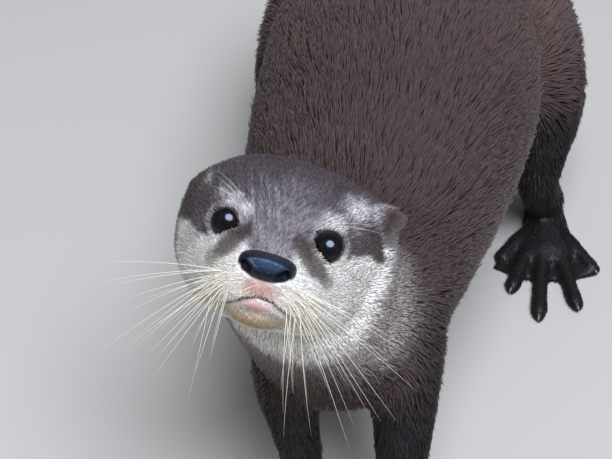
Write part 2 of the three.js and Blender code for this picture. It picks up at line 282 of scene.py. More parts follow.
# The axes are the columns left, back and up. A faceted eye of the solids is lower than the ball
# that it stands for.
AXES = turned(*HEAD_TURN)
EYE_MIDDLE = (eye_centre("left") + eye_centre("right")) / 2
HEAD_ORIGIN = EYE_MIDDLE - AXES @ (np.array([0, EYE_SEAT["behind"], EYE_SEAT["above"]]) * MM)
FACETED_HEIGHT = 0.97
EYE_RADIUS = float((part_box("eye_left")[1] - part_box("eye_left")[0]).z) / 2 / FACETED_HEIGHT


def to_head(points):
    """Points of the frame as x, ahead and z in the head's own frame, in millimetres."""
    local = (np.atleast_2d(points) - HEAD_ORIGIN) @ AXES / MM
    return local * [1, -1, 1]


def from_head(local):
    """Points of the head's own frame, in millimetres, back in the frame."""
    return HEAD_ORIGIN + (np.atleast_2d(local) * [1, -1, 1]) @ AXES.T * MM


def head_direction(x, ahead, z):
    """A direction of the head's own frame as a unit vector of the frame."""
    return unit(AXES @ np.array([x, -ahead, z], float))


# The eyeballs sit this far from the solids' eyes, in the head's frame, so that the lids close
# round them.
EYE_SHIFT = {"left": (-1.2, 1.3, 0.5), "right": (0.4, 1.3, -0.4)}
EYE_AT = {
    side: from_head(to_head(eye_centre(side)) + EYE_SHIFT[side])[0] for side in SIDES
}

# Where the lids of each eye open, in the head's frame, and how wide, in degrees.
GAZE = {"left": head_direction(-0.11, 0.87, 0.40), "right": head_direction(-0.11, 0.97, 0.10)}
LID_OPEN = {"left": 57.0, "right": 45.0}
LID_TALL = 0.13  # how much further the lids open upwards and downwards
LID_REACH = 13  # how far from an eye's middle, in millimetres, its lids count


def eye_axes(side):
    """Across and up on an eye, square to the way its lids open."""
    up = head_direction(0, 0, 1)
    up = unit(up - GAZE[side] * (up @ GAZE[side]))
    return np.cross(GAZE[side], up), up


def from_eye(points, side):
    """
    Each point's distance from an eye's middle in millimetres, and its angle off the gaze,
    counted smaller above and below, where the lids open further.
    """
    out = points - EYE_AT[side]
    angle = np.degrees(np.arccos(np.clip(unit(out) @ GAZE[side], -1, 1)))
    across, up = eye_axes(side)
    high = (out @ up) ** 2 / np.maximum((out @ up) ** 2 + (out @ across) ** 2, 1e-12)
    return np.linalg.norm(out, axis=1) / MM, angle * (1 - LID_TALL * high)


def past_lids(points):
    """How many degrees each point lies outside the nearer eye's lids, far ones at 90."""
    past = np.full(len(points), 90.0)
    for side in SIDES:
        reach, angle = from_eye(points, side)
        beyond = np.maximum(angle - LID_OPEN[side], (reach - EYE_RADIUS / MM - 1.0) * 8)
        past = np.where(reach < LID_REACH, np.minimum(past, beyond), past)
    return past


def ear_turn(side):
    """How an ear's leaf is turned and leans in the head's frame."""
    return turned((EAR_HELD[side]["turn"], "Z"), (EAR_LEAN * SIGN[side], "Y"))


def ear_share(points):
    """How far out in the nearer ear's leaf each point lies: 1 at its edge, more outside."""
    thickness = 0.55  # across the leaf, where its rolled rim is thicker than its half size
    share = np.full(len(points), 9.0)
    for side, held in EAR_HELD.items():
        out = (to_head(points) - [held["x"], EAR_AHEAD, held["z"]]) * [1, -1, 1]
        out = out @ ear_turn(side) / np.array(EAR_HALF) / [1, 1, held["tall"]]
        out[:, 1] *= thickness
        share = np.minimum(share, np.linalg.norm(out, axis=1))
    return share


# The line of the mouth from corner to corner, in the head's frame.
MOUTH = (
    (-19.5, 7, -31), (-16, 16, -29.5), (-11.7, 21.7, -27.3), (-6.3, 28.4, -22.6),
    (0.3, 29.6, -20.0), (6.2, 29.2, -20.6), (12.6, 25.6, -24.4), (17, 16, -28.8), (20, 7, -31),
)


def from_mouth(local):
    """Distance of head-frame points from the line of the mouth."""
    near = np.full(len(local), 1e9)
    for start, end in zip(MOUTH, MOUTH[1:]):
        near = np.minimum(near, from_segment(local, start, end))
    return near


def over_mouth(local):
    """Height of head-frame points over the line of the mouth."""
    level = np.interp(local[:, 0], [spot[0] for spot in MOUTH], [spot[2] for spot in MOUTH])
    return local[:, 2] - level


# ---------------------------------------------------------------- the skin


def ear_mesh(side):
    """An ear as a thin round leaf with a rolled rim and a hollow in front."""
    held = EAR_HELD[side]
    ear = bmesh.new()
    bmesh.ops.create_uvsphere(ear, u_segments=40, v_segments=28, radius=1)
    turn = ear_turn(side)
    # Its front is pressed flat and hollowed inside the rim, and the whole leaf is bowed.
    for vertex in ear.verts:
        x, y, z = vertex.co
        from_middle = min(math.hypot(x, z), 1)
        if y < 0:
            y = 0.35 * y + 0.7 * (1 - smooth(from_middle, 0.35, 0.84))
        y += 0.35 * (1 - from_middle**2)
        spot = turn @ (np.array((x, y, z * held["tall"])) * EAR_HALF)
        spot = np.array([held["x"], EAR_AHEAD, held["z"]]) + spot * [1, -1, 1]
        vertex.co = Vector(from_head(spot)[0])
    return ear


def puffed(name):
    """A solid, swollen past half its gap so that it runs together with its neighbours."""
    part = bmesh.new()
    part.from_mesh(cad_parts[name].data)
    bmesh.ops.remove_doubles(part, verts=part.verts, dist=0.01 * MM)
    part.normal_update()
    spots = [v.co + v.normal * (0.5 * MM) for v in part.verts]
    for vertex, spot in zip(part.verts, spots):
        vertex.co = spot
    return part


def flesh_mesh():
    """The ears and every other flesh solid in one mesh, with the eyes and nose to fill the head."""
    solids = [name for name in FLESH if not name.startswith("ear")]
    solids += ["eye_left", "eye_right", "nose"]
    made, mesh = bmesh.new(), bpy.data.meshes.new("skin")
    for part in [ear_mesh(side) for side in SIDES] + [puffed(name) for name in solids]:
        part.to_mesh(mesh)
        part.free()
        made.from_mesh(mesh)
    made.to_mesh(mesh)
    made.free()
    return mesh


def nearest_nodes(points):
    """For each point, which flesh solid lies nearest, as an index into FLESH."""
    corners, faces, owner = [], [], []
    for index, name in enumerate(FLESH):
        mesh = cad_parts[name].data
        base = len(corners)
        corners.extend(v.co.copy() for v in mesh.vertices)
        faces.extend([base + i for i in polygon.vertices] for polygon in mesh.polygons)
        owner.extend([index] * len(mesh.polygons))
    tree = BVHTree.FromPolygons(corners, faces)
    return np.array([owner[tree.find_nearest(Vector(p))[2]] for p in points])


# The kind of part that each flesh solid is, without its side.
KINDS = np.array([
    name.rsplit("_", 1)[0] if name.endswith(SIDES) else name for name in FLESH
])


def refine(mesh, chosen):
    """Halves the faces whose every corner is chosen."""
    work = bmesh.new()
    work.from_mesh(mesh)
    work.verts.ensure_lookup_table()
    edges = [e for e in work.edges if all(chosen[v.index] for v in e.verts)]
    bmesh.ops.subdivide_edges(work, edges=edges, cuts=1, use_grid_fill=True)
    bmesh.ops.triangulate(work, faces=[f for f in work.faces if len(f.verts) > 4])
    work.to_mesh(mesh)
    work.free()


# Soft rises and hollows of the head's skin: height, middle and radii in millimetres, and
# whether each lies on both sides of the head or only on its own.
HEAD_FORMS = (
    (0.9, (11.5, 23, -17), (7, 7, 6), "both"),  # whisker pads
    (0.8, (24, -6, 9), (10, 8, 4), "both"),  # brows
    (2.0, (35, -38, 17), (9, 16, 9), "own"),  # left temple
    (-0.9, (-34, -44, 17), (9, 12, 9), "own"),  # right temple
    (-1.9, (15.0, 4, 0), (3.6, 7, 6), "both"),  # the eyes' inner corners
    (-1.6, (45, -38, 5), (6, 9, 10), "own"),  # beside the left ear
    (-0.9, (0, 29, -15.5), (1.1, 6, 4.2), "both"),  # the groove under the nose
    (1.0, (0, 27.5, -23.4), (7, 4, 1.7), "both"),  # lower lip
    (-2.2, (0, 25.5, -8), (9.5, 5, 4.5), "both"),  # the seat of the nose
)
LIP_DEPTH, LIP_HALF = 2.6, 0.9  # depth and half width of the line of the mouth


def mirrored(local):
    """Head-frame points with both sides of the head on its left."""
    return np.stack([np.abs(local[:, 0]), local[:, 1], local[:, 2]], axis=1)


def soft_spots(local, table):
    """Each soft spot of a table at head-frame points, as strong as the table says."""
    places = {"own": local, "both": mirrored(local)}
    return [
        strength * blob(places[which], middle, radii) for strength, middle, radii, which in table
    ]


def sculpt_head(points, normals):
    """Shapes brows, pads, lips and the seat of the nose, and draws the lids round the eyes."""
    local = to_head(points)
    push = sum(soft_spots(local, HEAD_FORMS))
    push -= LIP_DEPTH * np.exp(-((from_mouth(local) / LIP_HALF) ** 2)) * smooth(local[:, 1], 4, 10)
    points = points + normals * (push * MM)[:, None]
    radius = EYE_RADIUS / MM
    for side in SIDES:
        reach, angle = from_eye(points, side)
        # Inside the lids the skin ends under the eyeball, and outside them it lies over it.
        lid = radius + 0.35 + 0.5 * smooth(angle, LID_OPEN[side], LID_OPEN[side] + 14)
        outside = np.maximum(lid, reach - 2.4)
        wanted = np.where(angle < LID_OPEN[side], radius - 2.0, outside)
        held = (1 - smooth(reach, 10.5, 15)) * (1 - smooth(angle, 75, 95))
        away = unit(points - EYE_AT[side])
        points = points + away * ((wanted - reach) * held * MM)[:, None]
    return points


def tail_line():
    """The middle of the tail as a polyline, from its root to its tip."""
    spots = mesh_coords(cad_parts["tail"].data)
    cuts = np.linspace(spots[:, 1].min() + 0.01, spots[:, 1].max() - 0.006, 12)
    return np.array([spots[np.abs(spots[:, 1] - y) < 0.02].mean(axis=0) for y in cuts])


# Which way the coat lies on the parts where it is the same all over, and on the thigh's side
# and top.
LIE = {
    "trunk": (0, 1, -0.28), "neck": (0.05, 0.75, -0.62), "upper_arm": (0, 0.22, -1),
    "forearm": (0, -0.1, -1), "shank": (0, 0.12, -1),
}
THIGH_SIDE, THIGH_TOP = np.array([0, 0.2, -0.98]), np.array([0, 1, -0.2])
# The places in the head's frame that the hair of the face and of the ears grows away from.
MUZZLE_TIP, SKULL_MIDDLE = (0, 25, -12), (0, -30, -8)


def lie_of_coat(points, normals, part, nodes, web):
    """The direction in which the coat lies at each vertex, along the skin."""
    flow = np.array([LIE.get(name, LIE["trunk"]) for name in part], float)
    away = unit((to_head(points) - MUZZLE_TIP) * [1.15, 1, 1]) * [1, -1, 1] @ AXES.T
    face = np.isin(part, FACE)
    flow[face] = away[face]
    level = smooth(normals[:, 2], 0.1, 0.7)[:, None]
    thigh = part == "thigh"
    flow[thigh] = (THIGH_SIDE * (1 - level) + THIGH_TOP * level)[thigh]
    ears = part == "ear"
    flow[ears] = unit(points[ears] - from_head(SKULL_MIDDLE)[0]) + (0, 0.4, 0)
    line, tail = tail_line(), part == "tail"
    step = np.gradient(line, axis=0)
    for axis in range(3):
        flow[tail, axis] = np.interp(points[tail, 1], line[:, 1], step[:, axis])
    for name, (_, _, heading) in ANKLES.items():
        turn = math.radians(heading)
        flow[nodes == FLESH.index(name)] = (math.sin(turn), -math.cos(turn), -0.12)
    flow = unit(flow)
    for _ in range(6):
        flow = web.relax(flow, 6, 0.7)
        flow = unit(flow - normals * (flow * normals).sum(axis=1)[:, None])
    return flow


# How much less each of the coat's sizes is at the muzzle and on the ruff behind the face, and how
# much more on the cheeks and round the ankles, in the order of COAT_FIELDS.
MUZZLE_LESS = np.array([0.62, 0.62, 0.25, 0.12])
RUFF_LESS = np.array([0.6, 0.42, 0.3, 0.38])
CHEEK_MORE = np.array([0.35, 0.25, 0, 0])
ANKLE_MORE = np.array([1.8, 1.8, 1, 1])


def coat_sizes(points, part, web):
    """Each vertex's coat depth, tuft length, tuft width and spacing, blended at the joins."""
    table = np.array([COAT[name] for name in part])
    local = to_head(points)
    front = smooth(local[:, 1], -34, 22) * np.isin(part, FACE)
    cheek = blob(local, (40, -24, -10), (12, 16, 16))
    cheek += blob(local, (-40, -24, -10), (12, 16, 16))
    table *= 1 - np.outer(front, MUZZLE_LESS) + np.outer(cheek, CHEEK_MORE)
    near_face = 1 - smooth(np.linalg.norm(local - FACE_MIDDLE, axis=1), 55, 84)
    table *= 1 - np.outer(near_face * (part == "neck"), RUFF_LESS)
    feet = np.isin(part, tuple(TOES))
    for x, y, _ in ANKLES.values():
        reach = np.hypot(points[:, 0] - x * MM, points[:, 1] - y * MM)
        table[feet & (reach < ANKLE_REACH)] *= ANKLE_MORE
    return web.relax(table, 14, 0.6)


# ---------------------------------------------------------------- markings

MARKS = ("pale", "silver", "dark", "buff", "pink", "throat", "dark_leg_and_shade", "ear_fur", "warm_lit_rump", "face",
         "lid")

# The dark stripes beside the nose, as x and z of both ends in the head's frame and half width,
# and the band behind each eye: places behind the eyes, and its lower and upper edge there.
STRIPES = (
    ((9.0, 2.4), (18.5, -5.2), 2.7), ((18.5, -5.2), (24.6, -10.6), 1.6),
    ((-12.4, 1.2), (-18.6, -7.0), 3.1), ((-18.6, -7.0), (-22.8, -12.2), 2.2),
)
BAND = ((0, 9, 17, 30, 42), (1.0, 1.6, -0.8, -6.0, -9.0), (2.5, 8.0, 10.5, 12.0, 12.0))
BAND_END = (33, 36)
# How far behind the eyes the white ends, at heights from low to high.
NAPE = ((-27, -19, -15, -6, 0), (32, 31, 33, 37, 43))

# Soft spots of colour on the head, as strength, middle, radii and sides.
BROW_SPOTS = (
    (0.95, (20.6, -6.5, 10.0), (7.5, 7, 4.6), "own"),
    (0.85, (-21.5, -4.5, 7.8), (5.5, 7, 4.6), "own"),
    (0.8, (15.0, 0, 7.0), (3.6, 7, 4.0), "both"),
    (0.82, (28.5, -21, 15.0), (9, 13, 6), "own"),
    (0.75, (37, -33, 12.5), (8, 11, 6), "own"),
    (0.5, (31, -14, 8), (5, 7, 4), "own"),
    (0.5, (-27, -11, 9), (7, 9, 5), "own"),
    (0.45, (-37, -29, 9), (6, 10, 5), "own"),
)
DUSKY_CROWN = ((1.0, (-2, -34, 22), (30, 20, 14), "own"), (0.6, (12, -16, 17), (7, 5, 8), "own"))
BUFF_SPOTS = (
    (1.05, (0, 21, -32), (17, 12, 7), "both"),
    (0.35, (12, 24, -20), (10, 8, 6), "both"),
    (0.7, (0, 30, -16.5), (8, 6, 4.5), "both"),
    (0.25, (-14, 24, -14), (10, 8, 7), "own"),
)
PINK_SPOTS = (
    (0.7, (0, 30, -15.5), (7, 6, 3.8), "both"),
    (0.9, (0, 28, -23.1), (7.6, 4, 2.5), "both"),
)
THROAT_SPOTS = (
    (1.0, (56, -44, -36), (16, 17, 19), "both"),
    (1.0, (42, -30, -44), (15, 14, 15), "both"),
    (0.8, (50, -42, -12), (12, 10, 14), "both"),
)


class FurSpots:
    """The skin's vertices as the markings see them, in millimetres of the head's frame."""

    def __init__(self, points, part):
        self.local = to_head(points)
        self.x, self.ahead, self.z = self.local.T
        self.aside = np.abs(self.x)
        self.left, self.right = self.x > 0, self.x < 0
        self.face = np.isin(part, FACE).astype(float)
        self.near_face = 1 - smooth(np.linalg.norm(self.local - FACE_MIDDLE, axis=1), 62, 74)
        # What makes every edge ragged: broad waves and fine ones.
        self.ragged = waves(points / MM, 5, 3) * 1.1 + waves(points / MM, 2.2, 4) * 0.6
        self.leaf = ear_share(points)
        self.ear = 1 - smooth(self.leaf, 1.05, 1.25)
        self.past_lids = past_lids(points)


def white_of_face(at):
    """Cheeks, muzzle and chin, cut off above by a line from the eye to below the ear."""
    edge = -4.6 + 0.10 * np.clip(at.x, -40, 40) + 0.05 * np.clip(at.ahead, -40, 0)
    edge = edge + at.ragged * 0.6
    edge = edge + 4.2 * smooth(at.ahead, -4, 8) + 4.5 * smooth(-at.ahead, *BAND_END)
    back = 1 - smooth(-at.ahead + at.ragged * 1.2 - np.interp(at.z, *NAPE), -3, 3)
    cheek = (1 - smooth(at.z, edge - 1.0, edge + 1.0)) * smooth(at.aside, 12, 19) * back
    pad = smooth(at.aside, 7, 11) * smooth(at.ahead, 12, 18)
    muzzle = np.maximum(smooth(at.ahead, 20, 24), pad) * (1 - smooth(at.z, -3, 1.5))
    chin = (1 - smooth(at.z, -22, -14)) * back
    return np.maximum.reduce([cheek, muzzle, chin]) * at.near_face


def silver_of_face(at, brow):
    """Silver over the eyes and on the crown, with a dusky patch, and on the left ear's rim."""
    dusk = np.clip(sum(soft_spots(at.local, DUSKY_CROWN)), 0, 1)
    crown = 0.08 + 0.26 * smooth(at.ahead, -30, 12) - 0.08 * dusk
    silver = np.maximum(brow, crown) * at.near_face
    silver = silver + 0.10 * blob(at.local, (0, -12, 14), (14, 12, 12)) * at.near_face
    silver *= 1 - 0.5 * smooth(-at.ahead, 42, 60)
    return silver * (1 - at.ear) + 0.3 * at.ear * smooth(at.leaf, 0.78, 0.95) * at.left


def stripes_of_face(at):
    """Stripes from the eyes' inner corners down the muzzle, as seen from ahead."""
    flat = at.local * [1, 0, 1]
    stripe = np.zeros(len(flat))
    for start, end, half in STRIPES:
        away = from_segment(flat, (start[0], 0, start[1]), (end[0], 0, end[1]))
        away = away + at.ragged * 0.35
        stripe = np.maximum(stripe, 1 - smooth(away, half - 1.0, half + 0.9))
    return stripe * (smooth(at.ahead, 3, 8) * (1 - 0.45 * smooth(-at.z, 7, 12)))


def band_of_face(at):
    """
    The band from each eye's outer corner to the ear, widening as it goes, and how far it
    keeps the cheek's white away.
    """
    behind, low, high = BAND
    lower = np.interp(-at.ahead, behind, low) - 3.5 * at.right
    upper = np.interp(-at.ahead, behind, high) - (2 + 6 * smooth(-at.ahead, 10, 20)) * at.right
    end = 1 - smooth(-at.ahead + at.ragged, *BAND_END)
    strength = 0.3 + 0.5 * smooth(-at.ahead, 18, 29) + 0.1 * at.right
    band = smooth(at.z + at.ragged * 0.6, lower - 1.0, lower + 0.8)
    band *= 1 - smooth(at.z + at.ragged * 0.8, upper - 3.5, upper + 2.5)
    band *= smooth(at.aside + at.ragged * 0.4, 27, 30.5) * strength
    band *= end
    over = smooth(at.z, lower - 1.0, lower + 0.8) * smooth(at.aside, 27, 30) * end
    return band, over * (1 - smooth(at.z, 4, 10))


def dark_marks_and_ear_shade(at, band):
    """Stripes, bands and the eyes' outer corners, with painted shade in the left ear's hollow and
    over the right ear.
    """
    outer = from_segment(mirrored(at.local), (28.5, -3, -1.0), (31, -6, -2.0))
    corner = 1 - smooth(outer, 1.2, 2.4)
    hollow = at.ear * (1 - smooth(at.leaf, 0.45, 0.85)) * smooth(at.z - 3, -6, 4)
    dark = np.maximum.reduce([stripes_of_face(at) * 0.85, band, corner * 0.6])
    dark = dark * at.face * (1 - at.ear)
    # The ears' darkness here is painted shade: in the left ear's hollow and over all of the right
    # ear.
    return np.maximum(dark, 0.95 * np.where(at.left, hollow, at.ear))


def bare_of_face(at):
    """The dark bare skin of the lids, the lips and the seat of the nose."""
    lid = 1 - smooth(at.past_lids + 1.5 * at.ragged, 3.5, 8)
    near, over = from_mouth(at.local), over_mouth(at.local)
    upper_lip = smooth(over, -0.4, 0.2) * (1 - smooth(over, 1.2, 2.0))
    lips = np.maximum(1 - smooth(near, 0.7, 1.5), 0.85 * upper_lip)
    lips *= smooth(at.ahead, 12, 17) * (1 - smooth(near, 1.8, 2.6))
    seat = 1 - smooth(np.linalg.norm((at.local - [0, 26, -8.2]) / [10.8, 9, 4.9], axis=1), 0.86, 1)
    return np.maximum.reduce([lid, lips, seat]) * at.face


def throat_and_belly(at, points, normals, part, web):
    """The pale throat, the ruff's sides and the fainter belly."""
    high, front = points[:, 2] / MM, -points[:, 1] / MM
    throat = smooth(high + at.ragged * 3, 114, 158) * smooth(front + at.ragged * 2, 252, 272)
    throat *= (1 - at.near_face * smooth(at.z, -16, -8)) * 0.68
    throat = np.maximum(throat, 0.95 * np.clip(sum(soft_spots(at.local, THROAT_SPOTS)), 0, 1))
    belly = (part == "trunk") * smooth(-normals[:, 2], -0.45, 0.5) * smooth(-front, -230, -190)
    return np.maximum(throat, 0.3 * web.relax(belly, 10, 0.6))


def markings(points, normals, part, web):
    """How much of each marking every vertex carries, from 0 to 1."""
    at = FurSpots(points, part)
    # A pale ring round each eye, weaker on the right eye's outer side.
    ring = (1 - smooth(np.abs(at.past_lids - 12 + 2 * at.ragged), 1.5, 6.5)) * at.face
    ring *= 1 - 0.5 * smooth(at.aside, 22, 29) * at.right
    brow = np.maximum.reduce(soft_spots(at.local, BROW_SPOTS))
    band, off_cheek = band_of_face(at)
    pale = np.maximum(white_of_face(at), 0.5 * brow**2 * at.near_face) * (1 - at.ear)
    legs = np.isin(part, ("forearm", "forefoot", "hindfoot", "shank"))
    fields = {
        "pale": np.maximum(pale * (1 - off_cheek), 0.16 * ring),
        "silver": np.maximum(silver_of_face(at, brow), 0.42 * ring),
        "dark": dark_marks_and_ear_shade(at, band),
        "buff": np.maximum.reduce(soft_spots(at.local, BUFF_SPOTS) + [0.3 * ring]) * at.face,
        "pink": np.maximum.reduce(soft_spots(at.local, PINK_SPOTS)) * at.face,
        "throat": throat_and_belly(at, points, normals, part, web),
        # The legs' near black is partly their own dark brown and partly painted shade under the
        # body.
        "dark_leg_and_shade": web.relax(np.maximum(legs, 0.6 * (part == "upper_arm")), 12, 0.6),
        "ear_fur": at.ear,
        # The rump's top is warmer and lighter: partly the coat's own redder brown, partly painted
        # light.
        "warm_lit_rump": smooth(points[:, 1] / MM, -150, -10) * smooth(points[:, 2] / MM, 90, 150),
        "face": web.relax(at.face, 8, 0.6),
        "lid": bare_of_face(at),
    }
    return {name: np.clip(values, 0, 1) for name, values in fields.items()}


# ---------------------------------------------------------------- the skin's operator

# Where the skin keeps its small faces: this far round the head's middle in millimetres, and in
# metres below this height and this far round each eye.
FINE_HEAD, FINE_FOOT, FINE_EYE = 66, 0.016, 0.0125
# How far over the floor skin and hair stay at least, in metres.
LOWEST_SKIN, LOWEST_HAIR = 0.0003, 0.0004
# The parts whose joins are evened out less.
STIFFER = ("ear",) + FACE


class OTTER_OT_skin(bpy.types.Operator):
    """One skin over every flesh solid, inside it by the depth of the coat"""

    bl_idname = "otter.skin"
    bl_label = "Skin"

    def execute(self, context):
        sizes = context.scene.otter_coat
        skin = new_object("skin", flesh_mesh())
        choose(skin)
        weld = skin.modifiers.new("run together", "REMESH")
        weld.mode = "VOXEL"
        weld.voxel_size = sizes.skin_grain
        bpy.ops.object.modifier_apply(modifier=weld.name)
        self.even_out(skin.data)
        self.thin_out(skin, sizes.body_share)
        self.shape_and_mark(skin.data, sizes.depth_scale)
        choose(skin)
        bpy.ops.object.shade_smooth()
        bpy.ops.object.mode_set(mode="EDIT")
        bpy.ops.mesh.select_all(action="SELECT")
        bpy.ops.uv.smart_project(angle_limit=math.radians(66), island_margin=0.001)
        bpy.ops.object.mode_set(mode="OBJECT")
        skin.data.uv_layers[0].name = "OFBake"
        dress(skin, hide_material(context))
        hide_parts(*FLESH)
        return {"FINISHED"}

    def even_out(self, mesh):
        """Melts the joins between the solids into one another, least on ears and toes."""
        spots = mesh_coords(mesh)
        local = to_head(spots)
        web = Web(mesh)
        head = 1 - smooth(np.linalg.norm(local - HEAD_MIDDLE, axis=1), 46, 60)
        feet = 1 - smooth(spots[:, 2] / MM, 14, 26)
        ears = np.zeros(len(spots))
        for held in EAR_HELD.values():
            middle = (held["x"] * 1.06, EAR_AHEAD, held["z"])
            ears = np.maximum(ears, 1 - smooth(np.linalg.norm(local - middle, axis=1), 9, 13))
        soft = 0.62 * (1 - 0.72 * head) * (1 - 0.85 * feet) * (1 - 0.8 * ears)
        spots = web.relax(spots, 36, soft)
        hips = smooth(spots[:, 1], -0.075, -0.045) * (1 - smooth(spots[:, 1], 0.055, 0.075))
        hips *= smooth(spots[:, 2], 0.085, 0.11)
        move_vertices(mesh, web.relax(spots, 50, 0.6 * hips))

    def thin_out(self, skin, share):
        """Keeps small faces on head and feet, larger ones elsewhere, and halves the face's."""
        spots = mesh_coords(skin.data)
        fine = np.linalg.norm(to_head(spots) - HEAD_MIDDLE, axis=1) < FINE_HEAD
        fine |= spots[:, 2] < FINE_FOOT
        skin.vertex_groups.new(name="body").add(np.flatnonzero(~fine).tolist(), 1.0, "REPLACE")
        thin = skin.modifiers.new("larger faces", "DECIMATE")
        thin.ratio, thin.vertex_group = share, "body"
        bpy.ops.object.modifier_apply(modifier=thin.name)
        skin.vertex_groups.clear()
        spots = mesh_coords(skin.data)
        local = to_head(spots)
        finest = (local[:, 1] > 9) & (np.abs(local[:, 2] - HEAD_MIDDLE[2]) < 26)
        for side in SIDES:
            finest |= np.linalg.norm(spots - EYE_AT[side], axis=1) < FINE_EYE
        refine(skin.data, finest)

    def shape_and_mark(self, mesh, depth_scale):
        """Sinks the skin by the coat's depth, shapes the head, and keeps what the coat needs."""
        spots = mesh_coords(mesh)
        nodes = nearest_nodes(spots)
        part = KINDS[nodes]
        web = Web(mesh)
        soft = web.relax(np.where(np.isin(part, STIFFER), 0.15, 0.4), 4)
        spots = web.relax(spots, 3, soft)
        move_vertices(mesh, spots)
        grain = coat_sizes(spots, part, web)
        depth = (grain[:, 0] * depth_scale + 0.5 * (part != "ear")) * MM
        # The soles stay near the floor.
        off_floor = 0.2 + 0.8 * smooth(spots[:, 2] / MM, 1, 5)
        spots = spots - mesh_normals(mesh) * (depth * off_floor)[:, None]
        spots = web.relax(spots, 2, soft * 0.5)
        move_vertices(mesh, spots)
        spots = sculpt_head(spots, mesh_normals(mesh))
        spots[:, 2] = np.maximum(spots[:, 2], LOWEST_SKIN)
        move_vertices(mesh, spots)
        normals = mesh_normals(mesh)
        for name, values in zip(COAT_FIELDS, grain.T):
            store(mesh, name, values)
        store(mesh, "flow", lie_of_coat(spots, normals, part, nodes, web))
        store(mesh, "node", nodes.astype(float))
        for name, values in markings(spots, normals, part, web).items():
            store(mesh, name, values)


# ---------------------------------------------------------------- the coat


class Ground:
    """The skin as arrays, and the places on it where tufts grow."""

    def __init__(self, skin):
        mesh = skin.data
        mesh.calc_loop_triangles()
        self.corners = read(mesh.loop_triangles, "vertices", 3, int)
        self.loops = read(mesh.loop_triangles, "loops", 3, int)
        self.uv = read(mesh.uv_layers["OFBake"].data, "uv", 2)
        self.values = {name: stored(mesh, name) for name in COAT_FIELDS + MARKS + ("flow", "node")}
        self.values["point"], self.values["normal"] = mesh_coords(mesh), mesh_normals(mesh)
        self.faces = self.weights = None

    def of_faces(self, name):
        """Each triangle's mean of a value of its corners."""
        return self.values[name][self.corners].mean(axis=1)

    def at(self, name):
        """A value of the vertices at each tuft's place."""
        values = self.values[name][self.corners[self.faces]]
        weights = self.weights if values.ndim == 2 else self.weights[:, :, None]
        return (values * weights).sum(axis=1)

    def sow(self, crowd, rng):
        """Places tufts all over the skin, as close together as each part's spacing asks."""
        a, b, c = (self.values["point"][self.corners[:, i]] for i in range(3))
        area = np.linalg.norm(np.cross(b - a, c - a), axis=1) / 2
        wanted = area / (self.of_faces("spacing") * MM) ** 2 * crowd
        wanted = np.where(self.bare(), 0, wanted)
        hindfeet = [FLESH.index(f"hindfoot_{side}") for side in SIDES]
        wanted[np.isin(self.values["node"][self.corners[:, 0]].astype(int), hindfeet)] *= 0.8
        total = wanted.sum()
        count = int(total)
        places = (np.arange(count) + rng.random(count)) * (total / count)
        self.faces = np.searchsorted(np.cumsum(wanted), places).clip(0, len(wanted) - 1)
        r1, r2 = np.sqrt(rng.random(count)), rng.random(count)
        self.weights = np.stack([1 - r1, r1 * (1 - r2), r1 * r2], axis=1)

    def bare(self):
        """Where no hair grows: on the soles, inside the lids, under the nose and on the lips."""
        middle = self.of_faces("point")
        local = to_head(middle)
        bare = (middle[:, 2] < 0.004) & (self.of_faces("normal")[:, 2] < -0.3)
        bare |= past_lids(middle) < 2
        bare |= np.linalg.norm((local - [0, 26.2, -7.8]) / [11.6, 8, 5.6], axis=1) < 1
        over = over_mouth(local)
        bare |= ((from_mouth(local) < 0.8) | (over > 0) & (over < 1.4)) & (local[:, 1] > 14)
        bare |= np.linalg.norm((local - [0, 28, -22.9]) / [7.2, 4, 1.9], axis=1) < 1
        return bare


def gathered(root, body, rng):
    """The locks: which tuft each one leans towards, and how much."""
    leader_of = np.zeros(len(root), int)
    pull = np.zeros(len(root))
    # On the body and on the face: the share of tufts that lead, and their pull.
    for chosen, share, strength in ((body, 0.08, 0.3), (~body, 0.12, 0.16)):
        members = np.flatnonzero(chosen)
        leaders = members[rng.random(len(members)) < share]
        tree = KDTree(len(leaders))
        for leader in leaders:
            tree.insert(Vector(root[leader]), int(leader))
        tree.balance()
        leader_of[members] = [tree.find(Vector(root[m]))[1] for m in members]
        pull[members] = strength
    return leader_of, pull


def tuft_marks(ground, root, along, lip, lock_shade, rng):
    """Each tuft's marks, with a shade of its own."""
    count = len(root)
    marks = {name: ground.at(name) for name in MARKS}
    streak = np.where(
        marks["face"] > 0.5,
        drawn_out(root, along, 2.0, 5, 13), drawn_out(root, along, 4.5, 14, 14),
    )
    spread = 0.55 + 0.45 * marks["face"] - 0.3 * marks["face"] * marks["pale"]
    spread -= 0.2 * marks["throat"] * (1 - marks["face"])
    mixed = 0.42 * rng.random(count) + 0.33 * lock_shade + 0.5 * streak
    marks["shade"] = np.clip(0.5 + spread * (mixed - 0.62), 0, 1)
    marks["lid"] *= smooth(lip, 1.5, 3.0) * smooth(marks["lid"], 0.4, 1)
    # A hair is silver-tipped or it isn't, so a field of both looks streaked.
    chance = 0.55 * rng.random(count) + 0.45 * (1 - streak)
    tipped = smooth(marks["silver"] * 1.3 - chance, -0.45, 0.35)
    marks["silver"] = np.clip(marks["silver"] * (0.25 + 1.3 * tipped), 0, 1)
    return marks


TUFT_MIDDLE = 0.46  # the widest place of a tuft, as a share of its length
STRAYS, STRAY_RISE = 0.05, 1.35  # the share of tufts that stand up, and how much further


